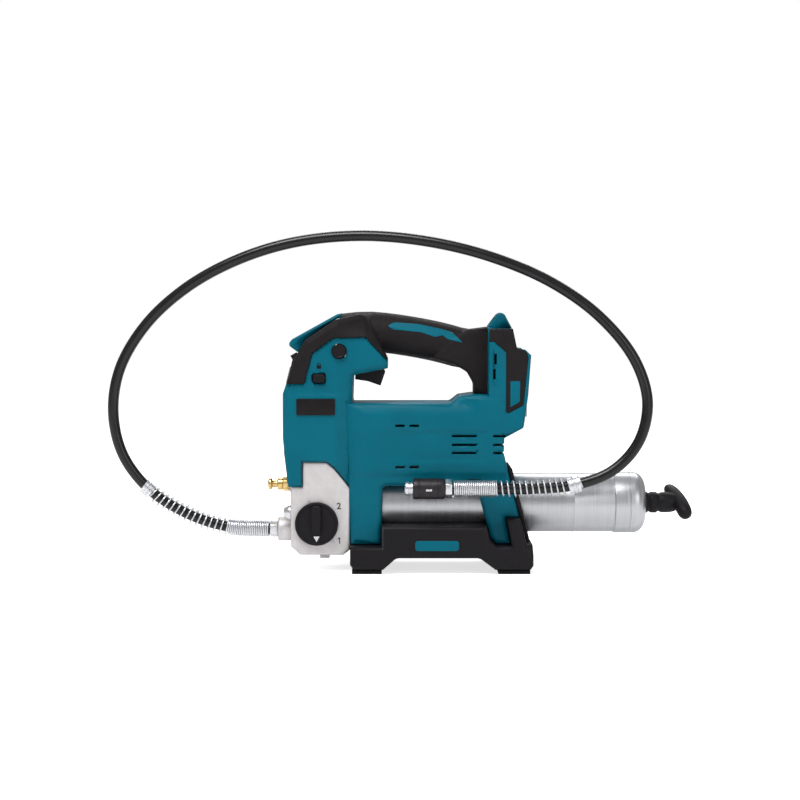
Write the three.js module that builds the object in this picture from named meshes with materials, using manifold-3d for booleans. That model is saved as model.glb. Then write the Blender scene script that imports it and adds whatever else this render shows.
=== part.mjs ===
// Cordless grease gun: a hollow two-part housing over a die-cast pump block and a steel grease barrel.
// Millimetres. X runs back from the outlet to the T-handle, Y from the tool's left to its right, Z up.
// The feet stand on Z = 0.
import * as THREE from 'three';
import { mergeVertices } from 'three/addons/utils/BufferGeometryUtils.js';
import Module from 'manifold-3d';

const wasm = await Module();
wasm.setup();

// ---- Driving dimensions ----
const GAP = 0.3; // clearance between pieces that touch
const WALL = 3; // housing wall
const COVER = 2.4; // soft overmould thickness
const CLEAR = 0.6; // clearance round sliding and turning pieces
const HEAD_WIDTH = 72;
const BODY_WIDTH = 78;
const GRIP_D = 39.2;
const RAIL_WIDTH = 76;
const BASE_WIDTH = 110;
const BLOCK_WIDTH = 66;
const HOOK_WIDTH = 34;
const BARREL_D = 57.5;
const BARREL_WALL = 1.6;
const BARREL_Z = 64;
const BARREL_FRONT = -138;
const BARREL_BACK = 130.3;
const CAP_LENGTH = 31;
const ROD_D = 8;
const CUP_X = -108;
const CUP_LENGTH = 14;
const NECK_LENGTH = 22.4;
const NECK_D = 20.6;
const TEE_BAR_D = 13;
const COLLAR_TOP = [25.8, 99.8];
const COLLAR_LOW = [43.3, 28.6];
const COLLAR_THICK = 3.8;
const PILLAR_Z = 26.3;
const PAD_HEIGHT = 4;
const MOTOR_Z = 123;
const MOTOR_D = 46;
const MOTOR_FRONT = -104;
const MOTOR_LENGTH = 64;
const SHAFT_D = 6;
const FAN_D = 42;
const FAN_BLADES = 9;
const MODULE = 1.2;
const PINION_TEETH = 10;
const GEAR_TEETH = 30;
const GEAR_WIDTH = 7;
const GEAR_X = -148;
const CRANK_THROW = 4;
const PLUNGER_D = 8;
const PLUNGER_X = -156;
const PLUNGER_LOW = 62;
const DIAL_D = 41.8;
const DIAL_AT = [-158.8, 46.7];
const DIAL_THICK = 6;
const OUTLET_Z = 38;
const OUTLET_FACE = -205.8;
const NIPPLE_Z = 82.1;
const NIPPLE_BOSS_R = 8;
const LAMP_WIDTH = 30;
const BLEEDER_Z = 56;
const LOCK_OFF_AT = [-136.9, 213];
const LOCK_OFF_D = 14;
const LOCK_ON_AT = [-156.3, 187];
const TRIGGER_WIDTH = 14;
const SCREW_D = 3.6;
const SCREW_HEAD_D = 7;
const HOSE_D = 10.5;
const COIL_WIRE = 1.3;
const COIL_ROOM = 1.75; // between the hose and its spring guards
const FERRULE_GAP = 0.086 * HOSE_D; // a thicker hose swings its guards' ends further on the curve
const COUPLER_Y = -57;
const COUPLER_Z = 83;

// The block's front face stands this far behind the outlet's face.
const BLOCK_FRONT = -184;
const BLOCK_BACK = -126.9;
const BARREL_R = BARREL_D / 2;
const COIL_D = HOSE_D + 2 * (COIL_ROOM + COIL_WIRE);
const CAP_BACK = BARREL_BACK + CAP_LENGTH;
const GEAR_Z = MOTOR_Z + (MODULE * (PINION_TEETH + GEAR_TEETH)) / 2 + 0.1;

// ---- Solid tools ----

// A closed three.js geometry as a solid with outward faces.
function solid(geometry) {
  const bare = geometry.index ? geometry.clone() : geometry;
  bare.deleteAttribute('normal');
  bare.deleteAttribute('uv');
  const merged = mergeVertices(bare, 1e-4);
  const vertProperties = new Float32Array(merged.attributes.position.array);
  const triVerts = new Uint32Array(merged.index.array);
  const made = new wasm.Manifold(new wasm.Mesh({ numProp: 3, vertProperties, triVerts }));
  if (made.volume() > 0) return made;
  for (let i = 0; i < triVerts.length; i += 3) {
    const first = triVerts[i];
    triVerts[i] = triVerts[i + 1];
    triVerts[i + 1] = first;
  }
  return new wasm.Manifold(new wasm.Mesh({ numProp: 3, vertProperties, triVerts }));
}

function join(...solids) {
  return solids.reduce((all, one) => all.add(one));
}

// Each corner of an [x, z, radius] outline moved in by inset, along the mitre of its two edges.
function drawnIn(points, inset) {
  const area = points.reduce((sum, [x, z], i) => {
    const [nx, nz] = points[(i + 1) % points.length];
    return sum + x * nz - nx * z;
  }, 0);
  const turn = Math.sign(area);
  return points.map(([x, z, radius = 0], i) => {
    const corner = new THREE.Vector2(x, z);
    const back = points.at(i - 1);
    const next = points[(i + 1) % points.length];
    const into = corner.clone().sub(new THREE.Vector2(back[0], back[1])).normalize();
    const out = new THREE.Vector2(next[0], next[1]).sub(corner).normalize();
    const mitre = new THREE.Vector2(-into.y - out.y, into.x + out.x).multiplyScalar(turn);
    const moved = corner.addScaledVector(mitre, inset / (1 + into.dot(out)));
    const convex = into.cross(out) * turn > 0;
    const kept = radius > 0 ? Math.max(radius + (convex ? -inset : inset), 0) : 0;
    return { corner: moved, into, out, convex, radius: kept };
  });
}

// A closed shape with true arcs at its corners; a convex arc that a rim of this round would swallow stays sharp.
function shapeOf(points, inset = 0, round = 0) {
  const shape = new THREE.Shape();
  const corners = drawnIn(points, inset);
  corners.forEach(({ corner, into, out, convex, radius }, i) => {
    const room = 0.49 * Math.min(
      corner.distanceTo(corners.at(i - 1).corner),
      corner.distanceTo(corners[(i + 1) % corners.length].corner),
    );
    const bend = Math.tan(Math.acos(THREE.MathUtils.clamp(into.dot(out), -1, 1)) / 2);
    const used = Math.min(radius, room / bend);
    const start = corner.clone().addScaledVector(into, -used * bend);
    const rounded = used > 0.2 && (!convex || used > round + 0.1);
    const first = rounded ? start : corner;
    if (i === 0) shape.moveTo(first.x, first.y);
    else shape.lineTo(first.x, first.y);
    if (!rounded) return;
    const side = Math.sign(into.cross(out));
    const centre = start.clone().add(new THREE.Vector2(-into.y, into.x).multiplyScalar(used * side));
    const from = Math.atan2(start.y - centre.y, start.x - centre.x);
    const sweep = 2 * Math.atan(bend) * side;
    shape.absarc(centre.x, centre.y, used, from, from + sweep, side < 0);
  });
  shape.closePath();
  return shape;
}

// An X-Z outline made a slab centred on Y, with rounded rims and its outline drawn in by inset.
function slab(points, width, { round = 0, inset = 0, y = 0, segments = 2 } = {}) {
  const rim = Math.max(round - Math.max(inset, 0), 0);
  const geometry = new THREE.ExtrudeGeometry(shapeOf(points, inset, rim), {
    depth: width - 2 * rim,
    bevelEnabled: rim > 0,
    bevelThickness: rim,
    bevelSize: rim,
    bevelOffset: -rim,
    bevelSegments: segments,
    curveSegments: 2,
  });
  geometry.translate(0, 0, rim - width / 2);
  geometry.rotateX(Math.PI / 2);
  geometry.translate(0, y, 0);
  return solid(geometry);
}

function block([x0, x1], [y0, y1], [z0, z1]) {
  const geometry = new THREE.BoxGeometry(x1 - x0, y1 - y0, z1 - z0);
  geometry.translate((x0 + x1) / 2, (y0 + y1) / 2, (z0 + z1) / 2);
  return solid(geometry);
}

// A turned piece along X from a list of [x, radius]; the ends close on the axis.
function turned(profile, { y = 0, z = 0, segments = 32 } = {}) {
  const outline = [[profile[0][0], 0], ...profile, [profile.at(-1)[0], 0]];
  const geometry = new THREE.LatheGeometry(outline.map(([x, r]) => new THREE.Vector2(r, x)), segments);
  geometry.rotateZ(-Math.PI / 2);
  geometry.translate(0, y, z);
  return solid(geometry);
}

// A plain round bar along X, Y or Z.
function bar(axis, radius, from, to, at, segments = 14) {
  const geometry = new THREE.CylinderGeometry(radius, radius, to - from, segments);
  geometry.translate(0, (from + to) / 2, 0);
  if (axis === 'x') geometry.rotateZ(-Math.PI / 2).translate(0, at[0], at[1]);
  if (axis === 'y') geometry.translate(at[0], 0, at[1]);
  if (axis === 'z') geometry.rotateX(Math.PI / 2).translate(at[0], at[1], 0);
  return solid(geometry);
}

// A section swept along a curve, hollow where an inner radius is given.
function swept(curve, steps, radius, { inner = 0, sides = 12 } = {}) {
  const section = new THREE.Shape();
  section.absarc(0, 0, radius, 0, Math.PI * 2);
  if (inner > 0) {
    const hole = new THREE.Path();
    hole.absarc(0, 0, inner, 0, Math.PI * 2, true);
    section.holes.push(hole);
  }
  return solid(new THREE.ExtrudeGeometry(section, {
    steps, extrudePath: curve, curveSegments: sides / 2, bevelEnabled: false,
  }));
}

// ---- The tool's outlines ----

const collarX = (z) => COLLAR_TOP[0]
  + ((COLLAR_TOP[1] - z) * (COLLAR_LOW[0] - COLLAR_TOP[0])) / (COLLAR_TOP[1] - COLLAR_LOW[1]);
const behindCollar = (z) => [collarX(z) - GAP - 0.1, z];

const HEAD = [
  [-190, 110], [-191.6, 130], [-191.6, 172, 6], [-179.6, 207, 8], [-170, 223.6, 8], [-140.5, 243.6, 8],
  [-112, 250.6, 8], [-90.2, 205, 6], [-90.2, 196.6], [-123.7, 190, 4], [-124.6, 163, 8], [-112, 150],
  [-118, 110],
];
const THROAT = [
  [-190.4, 116], [-115, 116], [-126.2, 80.9], [-141.2, 100.6], [-148.8, 106.6], [-173, 106.6], [-173, 82.5],
  [-186.4, 82.5],
];
const GRIP_START = -137;
const GRIP_LINE = [
  [-142, 228.6], [-112, 231.6], [-89, 229.9], [-53, 224.1], [-35, 220], [-16.8, 215.2], [1, 213.6],
];
const COLUMN = [
  [-6.8, 160], [-6.8, 181, 8], [-13.2, 192.4, 10], [-27, 200.6, 10], [-48, 206.4], [-40, 216], [-14, 233.6],
  [11, 236.8], [11, 160],
];
const MOTOR = [
  [-130, 163], [-29.4, 163, 5], [-21.3, 169.4, 4], [-8, 171.2], [22.2, 171.2], [22.2, 129.6],
  [21.7, 115.1, 4], behindCollar(99.8), behindCollar(53.4), [23.1, 53.4], [28.6, PILLAR_Z + 0.8, 2],
  [14.1, PILLAR_Z + 0.8, 3], [8.6, 33.5, 3], [-4.6, 83.3, 4], [-95, 83.3, 4], [-96.5, PILLAR_Z, 1],
  [-126.4, PILLAR_Z, 1],
];
const REAR = [
  [7, 160], [7, 234.8], [30, 234.8], [34, 216], [42.1, 214.7], [47.6, 209.3, 1], [44.9, 171.2],
  [40.6, 139.5, 4], [22.2, 129.6],
];
const GRIP_COVER_REGION = [
  [-200, 182], [-170.6, 182, 2], [-163.2, 210.8, 3], [-142.7, 225.8, 3], [-111.8, 226.9, 3],
  [-89.6, 203.5], [-89.6, 185], [-30, 171.6], [6.3, 171.6], [6.3, 260], [-200, 260],
];
const REAR_COVER_REGION = [
  [7.3, 238], [30.4, 238], [33.4, 217], [42.5, 213], [44.6, 207], [40, 161.5, 2], [23.7, 152.4, 2],
  [23.7, 212.2, 2], [12, 222.4, 2], [7.3, 222.4],
];
const BASE = [
  [BLOCK_BACK + 2 * GAP, PILLAR_Z - GAP], [-96.2, PILLAR_Z - GAP], [-96.2, 46.2], [4.8, 46.2], [8.2, 33.4],
  [13.8, PILLAR_Z + 0.5], [29, PILLAR_Z + 0.5], [23.5, 53.1], behindCollar(53.1), behindCollar(28.3),
  [48.6, 28.3, 2], [49.5, 18, 2], [49.5, 8, 2], [46.6, PAD_HEIGHT + GAP], [13, PAD_HEIGHT + GAP, 3],
  [-2, 15.4, 8], [-82, 15.4, 8], [-94.6, PAD_HEIGHT + GAP, 3], [-123, PAD_HEIGHT + GAP],
  [BLOCK_BACK + 2 * GAP, 9, 2],
];

const BLOCK = [
  [BLOCK_FRONT, 24], [BLOCK_FRONT, 82.1], [-172.6, 82.1], [-172.6, 106.2], [-149, 106.2], [-141.7, 100.1],
  [BLOCK_BACK, 80.5], [BLOCK_BACK, 21], [-133, 16], [-175, 16],
];
const LAMP = [[-190.6, 174.2], [-182.8, 204.6], [-184.9, 208.4], [-180.3, 211], [-177, 206], [-186.5, 174]];

// The handle's round tube, drawn in by inset.
function gripTube(inset) {
  const line = new THREE.CatmullRomCurve3(GRIP_LINE.map(([x, z]) => new THREE.Vector3(x, 0, z)));
  return swept(line, 12, GRIP_D / 2 - inset, { sides: 20 })
    .intersect(block([GRIP_START + inset, 40], [-60, 60], [150, 300]));
}

// The whole housing form, drawn in by inset, before it is split into shells and covers.
function form(inset) {
  return join(
    slab(HEAD, HEAD_WIDTH - 2 * inset, { round: 5, inset }),
    slab(THROAT, HEAD_WIDTH - 2 * inset, { round: 1.5, inset, segments: 1 }),
    gripTube(inset),
    slab(COLUMN, GRIP_D - 2 * inset, { round: 4, inset }),
    slab(MOTOR, BODY_WIDTH - 2 * inset, { round: 4, inset }),
    slab(REAR, RAIL_WIDTH - 2 * inset, { round: 2, inset, segments: 2 }),
  );
}

// The hollow inside the shells, clear of the covers' seats.
function hollow() {
  const deep = COVER + GAP + WALL;
  const side = BODY_WIDTH / 2 - WALL;
  return join(
    slab(HEAD, HEAD_WIDTH - 2 * deep, { inset: deep }),
    gripTube(deep),
    block([MOTOR_FRONT - 24, 22 - WALL], [-side, side], [BARREL_Z + BARREL_R + WALL + 2, 163 - WALL]),
    block([-5 + WALL, 24], [deep - GRIP_D / 2, GRIP_D / 2 - deep], [150, 222]),
  );
}

// Everything that the housing makes room for.
const LAMP_SEAT = slab(LAMP, LAMP_WIDTH + 2 * GAP, { inset: -GAP });
const BARREL_BORE = bar('x', BARREL_R + GAP + 0.2, -150, 200, [0, BARREL_Z], 36);
const TRIGGER_SLOT = block([-123.2, -91.5], [-TRIGGER_WIDTH / 2 - CLEAR, TRIGGER_WIDTH / 2 + CLEAR], [176, 210]);
const BATTERY_RECESS = block([38, 70], [-30, 30], [145, 260]);
const TERMINAL_POCKET = block([28, 40], [-16, 16], [158, 207]);
const LOCK_OFF_HOLE = bar('y', LOCK_OFF_D / 2 + CLEAR, -60, 60, LOCK_OFF_AT);
const LOCK_ON_HOLE = slab(lockOnOutline(CLEAR), 20, { y: -HEAD_WIDTH / 2 });

// Screw places: [x, z, depth of the form there].
const SCREWS = [
  [-184, 124, HEAD_WIDTH], [-146, 178, HEAD_WIDTH], [-102, 233, GRIP_D], [-22, 219, GRIP_D],
  [6, 152, BODY_WIDTH], [12, 108, BODY_WIDTH],
];

function screwRoom([x, z, width]) {
  const head = bar('y', SCREW_HEAD_D / 2 + GAP, width / 2 - 7, 60, [x, z], 12);
  return join(head, bar('y', SCREW_D / 2 + GAP, -width / 2 + 7, 60, [x, z], 10));
}

const VENTS = [
  ...[141.7, 101.8].flatMap((z) => [[-78.4, z, 8.8], [-64.8, z, 9]]),
  ...[131.7, 123.2, 115.4].flatMap((z) => [[-16.7, z, 23.6], [17, z, 12]]),
];

function ventSlots() {
  return join(...VENTS.map(([x, z, length]) =>
    block([x - length / 2, x + length / 2], [-60, 60], [z - 1.1, z + 1.1])));
}

function columnSlots() {
  return join(...[[13.2, 205.7], [12.2, 191.2]].map(([x, z]) =>
    block([x - 1.2, x + 1.2], [-60, 60], [z - 5, z + 5])));
}

// ---- Housing and covers ----

// The space of the soft cover over the head and the handle, grown by grow.
function gripCoverRoom(grow) {
  return slab(GRIP_COVER_REGION, 120, { inset: -grow });
}

// The space of the two plates on the battery column's sides, grown by grow.
function rearCoverRoom(grow) {
  const side = RAIL_WIDTH / 2 - COVER - grow;
  return slab(REAR_COVER_REGION, 120, { inset: -grow }).subtract(block([0, 60], [-side, side], [140, 240]));
}

function housing() {
  const skin = join(gripCoverRoom(GAP), rearCoverRoom(GAP)).subtract(form(COVER + GAP));
  const battery = join(BATTERY_RECESS, TERMINAL_POCKET);
  const shell = form(0).subtract(skin).subtract(hollow());
  const bosses = join(...SCREWS.map(([x, z, width]) => bar('y', 4.8, 2 - width / 2, width / 2 - 2, [x, z], 12)));
  return join(shell, bosses.intersect(form(COVER + GAP)), motorRibs())
    .subtract(join(...SCREWS.map(screwRoom)))
    .subtract(BARREL_BORE).subtract(TRIGGER_SLOT).subtract(battery)
    .subtract(LOCK_OFF_HOLE).subtract(LOCK_ON_HOLE)
    .subtract(ventSlots()).subtract(columnSlots()).subtract(LAMP_SEAT)
    .subtract(slab(BLOCK, BLOCK_WIDTH + 2 * GAP, { inset: -GAP }))
    .subtract(bar('x', NIPPLE_BOSS_R + GAP, -200, -172, [0, NIPPLE_Z]))
    .subtract(bar('z', PLUNGER_D / 2 + CLEAR, 100, 120, [PLUNGER_X, 0]));
}

// Ribs that carry the motor and the gear plate.
function motorRibs() {
  const ribs = [MOTOR_FRONT + 8, MOTOR_FRONT + MOTOR_LENGTH - 10].map((x) =>
    block([x, x + 3], [-50, 50], [96, 150]).intersect(form(COVER + GAP)));
  return join(...ribs).subtract(bar('x', MOTOR_D / 2 + GAP, -140, 0, [0, MOTOR_Z], 24));
}

const LEFT = block([-400, 400], [-100, -GAP / 2], [-100, 400]);
const RIGHT = block([-400, 400], [GAP / 2, 100], [-100, 400]);

function cover(room) {
  return form(0).intersect(room).subtract(form(COVER))
    .subtract(join(...SCREWS.map(screwRoom)))
    .subtract(TRIGGER_SLOT).subtract(LAMP_SEAT).subtract(columnSlots());
}

// ---- Hooks, lamp, plate ----

// A fork over the head with a cross pin that a strap's hook clips round.
function frontHook() {
  const wedge = slab([
    [-187.5, 219, 4], [-183, 224.5, 3], [-139.5, 248.6, 1], [-136, 249.4], [-136, 238], [-162, 222],
    [-170, 212], [-178, 212, 2],
  ], HOOK_WIDTH, { round: 2, segments: 2 });
  const fork = wedge.subtract(block([-200, -160], [-10, 10], [200, 260]));
  return join(fork, bar('y', 2.6, -13, 13, [-182, 218.6], 14)).subtract(form(-GAP)).subtract(LAMP_SEAT);
}

function rearHook() {
  const peak = slab([
    [7.2, 232], [7.2, 237], [16, 248.6, 4], [19.5, 250.4, 3], [23, 248.6, 4], [30.2, 235.2], [30.2, 232],
  ], HOOK_WIDTH, { round: 2, segments: 2 });
  return peak.subtract(block([0, 40], [-10, 10], [238.6, 245.4])).subtract(form(-GAP));
}

const LENS_SEAT = [[-190, 182], [-186.2, 197.4], [-183.4, 196.8], [-187.2, 181.4]];

function lampHousing() {
  return slab(LAMP, LAMP_WIDTH).subtract(slab(LENS_SEAT, 18));
}

function lampLens() {
  return slab(LENS_SEAT, 18 - 2 * GAP, { inset: GAP });
}

function ratingPlate() {
  const half = HEAD_WIDTH / 2;
  return slab([[-178, 151.7, 1], [-178, 167.6, 1], [-140.8, 167.6, 1], [-140.8, 151.7, 1]], 0.8, {
    y: -half - GAP - 0.4,
  });
}

// ---- Pump ----

function pumpBlock() {
  const body = slab(BLOCK, BLOCK_WIDTH, { round: 2.5, segments: 2 });
  const lug = slab([[-147, 17], [-147, 12.5], [-156, 12.5], [-156, 17]], BLOCK_WIDTH - 12);
  const boss = turned([[-198, 11.2], [-196, 11.75], [-180, 11.75]], { z: OUTLET_Z });
  const nippleBoss = bar('x', NIPPLE_BOSS_R, -186.4, -172, [0, NIPPLE_Z]);
  return join(body, lug, boss, nippleBoss)
    .subtract(bar('x', BARREL_R + GAP + 0.2, BARREL_FRONT - GAP, 0, [0, BARREL_Z], 36))
    .subtract(bar('z', PLUNGER_D / 2 + GAP, PLUNGER_LOW - 8, 120, [PLUNGER_X, 0]))
    .subtract(bar('y', 4 + GAP, -BLOCK_WIDTH / 2 - 1, -BLOCK_WIDTH / 2 + 10, DIAL_AT))
    .subtract(bar('x', 3.3, -200, -176, [0, NIPPLE_Z]))
    .subtract(bar('x', 3.3, -200, -176, [-18, BLEEDER_Z]))
    .subtract(bar('x', 4.3, -210, -186, [0, OUTLET_Z]));
}

function outletFitting() {
  return join(
    turned([[OUTLET_FACE, 8.6], [-198 - GAP, 8.6]], { z: OUTLET_Z, segments: 6 }),
    turned([[-199, 4], [-187, 4]], { z: OUTLET_Z, segments: 20 }),
  );
}

function loaderNipple() {
  return turned([
    [-208, 3], [-206.6, 5.7], [-204.4, 5.7], [-203, 3.5], [-198.6, 3.5], [-198.2, 5.9], [-193.4, 5.9],
    [-193, 7.2], [-186.7, 7.2], [-186.7, 3], [-177, 3],
  ], { z: NIPPLE_Z, segments: 14 });
}

function bleederValve() {
  return turned([
    [-191.4, 3.6], [-191, 4.6], [-186.4, 6.9], [BLOCK_FRONT - GAP, 6.9], [BLOCK_FRONT - GAP, 3], [-177, 3],
  ], { y: -18, z: BLEEDER_Z, segments: 12 });
}

function speedDial() {
  const face = -BLOCK_WIDTH / 2 - GAP;
  const disc = bar('y', DIAL_D / 2, face - DIAL_THICK, face, DIAL_AT, 30);
  const [x, z] = DIAL_AT;
  const grip = slab([[x - 5, z - 10, 3], [x - 5, z + 18, 2], [x + 5, z + 18, 2], [x + 5, z - 10, 3]], 6, {
    y: face - DIAL_THICK - 2, round: 1, segments: 2,
  });
  return join(disc, grip, bar('y', 4, face - 1, face + 8, DIAL_AT, 20));
}

function plunger() {
  const yokeLow = GEAR_Z - 15;
  const stem = bar('z', PLUNGER_D / 2, PLUNGER_LOW, yokeLow + 2, [PLUNGER_X, 0], 20);
  const plate = block([PLUNGER_X - 2.5, PLUNGER_X + 2.5], [-11, 11], [yokeLow, GEAR_Z + 14]);
  const window = block([-200, 0], [-7.5, 7.5], [GEAR_Z - 11, GEAR_Z + 11]);
  return join(stem, plate.subtract(window));
}

// ---- Drive ----

// A straight-toothed wheel along X, turned by a share of one tooth.
function toothed(teeth, width, x, z, phase = 0) {
  const pitch = (MODULE * teeth) / 2;
  const root = pitch - 1.2 * MODULE;
  const tip = pitch + 0.8 * MODULE;
  const step = (2 * Math.PI) / teeth;
  const points = [];
  for (let i = 0; i < teeth; i += 1) {
    for (const [share, radius] of [[-0.3, root], [-0.12, tip], [0.12, tip], [0.3, root]]) {
      const angle = (i + share + phase) * step;
      points.push([radius * Math.cos(angle), radius * Math.sin(angle)]);
    }
  }
  const geometry = new THREE.ExtrudeGeometry(shapeOf(points), { depth: width, bevelEnabled: false });
  geometry.rotateX(Math.PI / 2);
  geometry.rotateZ(Math.PI / 2);
  geometry.translate(x, 0, z);
  return solid(geometry);
}

function crankGear() {
  const wheel = toothed(GEAR_TEETH, GEAR_WIDTH, GEAR_X, GEAR_Z, 0.5);
  const shaft = bar('x', 4, GEAR_X + GEAR_WIDTH - 1, GEAR_X + GEAR_WIDTH + 12, [0, GEAR_Z], 20);
  const pin = bar('x', 2, PLUNGER_X - 2, GEAR_X + 1, [0, GEAR_Z + CRANK_THROW], 16);
  return join(wheel, shaft, pin);
}

function gearPlate() {
  const at = GEAR_X + GEAR_WIDTH + 2;
  return block([at, at + 6], [-24, 24], [116.4, 170])
    .subtract(bar('x', 4 + GAP, -200, 0, [0, GEAR_Z]))
    .subtract(bar('x', SHAFT_D / 2 + GAP, -200, 0, [0, MOTOR_Z]));
}

function motorCan() {
  const from = MOTOR_FRONT;
  const to = MOTOR_FRONT + MOTOR_LENGTH;
  return bar('x', MOTOR_D / 2, from, to, [0, MOTOR_Z], 24)
    .subtract(bar('x', MOTOR_D / 2 - 2, from + 3, to - 3, [0, MOTOR_Z], 24))
    .subtract(bar('x', SHAFT_D / 2 + GAP, from - 1, to + 1, [0, MOTOR_Z]))
    .subtract(block([from + 20, from + 30], [-40, 40], [MOTOR_Z - 4, MOTOR_Z + 4]));
}

function armature() {
  const r = SHAFT_D / 2;
  const from = MOTOR_FRONT + 8;
  const to = MOTOR_FRONT + MOTOR_LENGTH;
  return turned([
    [GEAR_X + GEAR_WIDTH + GAP, r], [from, r], [from, 10], [from + 7, 10], [from + 7, r], [from + 10, r],
    [from + 10, MOTOR_D / 2 - 4], [to - 8, MOTOR_D / 2 - 4], [to - 8, r], [to + 18, r],
  ], { z: MOTOR_Z, segments: 16 });
}

function coolingFan() {
  const x = MOTOR_FRONT + MOTOR_LENGTH + 4;
  const blades = Array.from({ length: FAN_BLADES }, (_, i) => {
    const blade = new THREE.BoxGeometry(7, 1.4, FAN_D / 2 - 8);
    blade.translate(x + 3.5, 0, FAN_D / 4 + 3);
    blade.rotateX((i * 2 * Math.PI) / FAN_BLADES);
    blade.translate(0, 0, MOTOR_Z);
    return solid(blade);
  });
  const hub = bar('x', 9, x, x + 7, [0, MOTOR_Z], 24);
  const disc = bar('x', FAN_D / 2, x, x + 1.2, [0, MOTOR_Z], 32);
  return join(hub, disc, ...blades).subtract(bar('x', SHAFT_D / 2 + GAP, -200, 100, [0, MOTOR_Z]));
}

// ---- Barrel and follower ----

function barrel() {
  const tube = turned([
    [BARREL_FRONT, BARREL_R], [90, BARREL_R], [90.4, BARREL_R + 0.4], [91.6, BARREL_R + 0.4],
    [92, BARREL_R], [BARREL_BACK + 14, BARREL_R],
  ], { z: BARREL_Z, segments: 36 });
  return tube.subtract(bar('x', BARREL_R - BARREL_WALL, -300, 300, [0, BARREL_Z], 36));
}

function barrelCap() {
  const r = BARREL_R + 1.1;
  const back = CAP_BACK;
  const outer = turned([[BARREL_BACK, r], [back - 8, r], [back - 7.4, r - 0.6], [back - 3.4, r - 2.2],
    [back - 0.8, r - 5.4], [back, r - 9]], { z: BARREL_Z, segments: 36 });
  return outer
    .subtract(bar('x', BARREL_R + GAP + 0.2, 100, BARREL_BACK + 14 + GAP, [0, BARREL_Z], 36))
    .subtract(bar('x', BARREL_R - 6, 100, back - 3, [0, BARREL_Z], 32))
    .subtract(bar('x', ROD_D / 2 + GAP, 100, 300, [0, BARREL_Z]));
}

function collar() {
  const [topX, topZ] = COLLAR_TOP;
  const [lowX, lowZ] = COLLAR_LOW;
  return slab([
    [topX, topZ], [topX + COLLAR_THICK, topZ + 0.8, 1], [lowX + COLLAR_THICK, lowZ + 0.5, 1], [lowX, lowZ],
  ], BODY_WIDTH - 4, { round: 0.8, segments: 1 })
    .subtract(bar('x', BARREL_R + GAP + 0.2, -300, 300, [0, BARREL_Z], 36));
}

function followerCup() {
  const r = BARREL_R - BARREL_WALL - CLEAR;
  return turned([[CUP_X, r - 3], [CUP_X + 2, r], [CUP_X + CUP_LENGTH, r]], { z: BARREL_Z, segments: 20 })
    .subtract(bar('x', r - 3, CUP_X + 4, 0, [0, BARREL_Z], 20))
    .subtract(bar('x', ROD_D / 2 + GAP, -300, 0, [0, BARREL_Z]));
}

function followerSpring() {
  const r = BARREL_R - BARREL_WALL - 6.15;
  return bar('x', r, CUP_X + CUP_LENGTH + 1, CAP_BACK - 5, [0, BARREL_Z])
    .subtract(bar('x', r - 4, -300, 300, [0, BARREL_Z]));
}

function followerRod() {
  return turned([[CUP_X - 6, 8], [CUP_X - GAP, 8], [CUP_X - GAP, ROD_D / 2], [CAP_BACK + 8, ROD_D / 2]], {
    z: BARREL_Z, segments: 20,
  });
}

function teeHandle() {
  const from = CAP_BACK + GAP;
  const neck = turned([
    [from, NECK_D / 2], [from + 2.6, NECK_D / 2], [from + 3, NECK_D / 2 - 1], [from + 4.6, NECK_D / 2 - 1],
    [from + 5, NECK_D / 2], [from + 12, NECK_D / 2], [from + 12.6, NECK_D / 2 - 1.4],
    [from + 14.6, NECK_D / 2 - 1.4], [from + 15.2, NECK_D / 2 - 0.4],
    [from + NECK_LENGTH, NECK_D / 2 - 1.5], [from + NECK_LENGTH + 8, NECK_D / 2 - 3],
  ], { z: BARREL_Z, segments: 18 }).subtract(bar('x', ROD_D / 2 + GAP, 0, CAP_BACK + 8 + GAP, [0, BARREL_Z]));
  const centre = new THREE.Vector3(from + NECK_LENGTH + 8, 0, BARREL_Z);
  const bow = new THREE.QuadraticBezierCurve3(
    centre.clone().add(new THREE.Vector3(-5, 22, 18)),
    centre.clone().add(new THREE.Vector3(8, 0, 2)),
    centre.clone().add(new THREE.Vector3(9, -22, -18)),
  );
  return join(neck, swept(bow, 7, TEE_BAR_D / 2, { sides: 12 }));
}

// ---- Base ----

function baseStand() {
  return slab(BASE, BASE_WIDTH, { round: 4, segments: 2 })
    .subtract(bar('x', BARREL_R + GAP + 0.2, -300, 300, [0, BARREL_Z], 36))
    .subtract(slab(MOTOR, BODY_WIDTH + 2 * GAP, { inset: -GAP }));
}

function footPad(from, to) {
  return slab([[from, 0], [from, PAD_HEIGHT], [to, PAD_HEIGHT], [to, 0]], BASE_WIDTH - 9, { round: 0.8, segments: 1 });
}

// ---- Controls ----

function lockOnOutline(grow) {
  const [x, z] = LOCK_ON_AT;
  const w = 6 + grow;
  const h = 4.2 + grow;
  return [[x - w, z - h, 2], [x - w, z + h, 2], [x + w, z + h, 2], [x + w, z - h, 2]];
}

function trigger() {
  return slab([
    [-121.6, 198, 2], [-95.4, 200.5, 2], [-92.8, 192.1, 1], [-97.4, 178.9, 1.5], [-110, 183.2, 4],
    [-122.3, 185, 1],
  ], TRIGGER_WIDTH, { round: 2, segments: 2 });
}

function lockOffButton() {
  const reach = HEAD_WIDTH / 2 + 1.6;
  return bar('y', LOCK_OFF_D / 2, -reach, reach - 3, LOCK_OFF_AT, 28);
}

function lockOnButton() {
  return slab(lockOnOutline(0), 9, { y: -HEAD_WIDTH / 2 + 3.1, round: 0.8, segments: 1 });
}

// ---- Battery interface ----

function batteryRail(side) {
  const y = side * 28.4;
  return block([41.2, 44], [y - 1.3, y + 1.3], [150, 208]);
}

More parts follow.
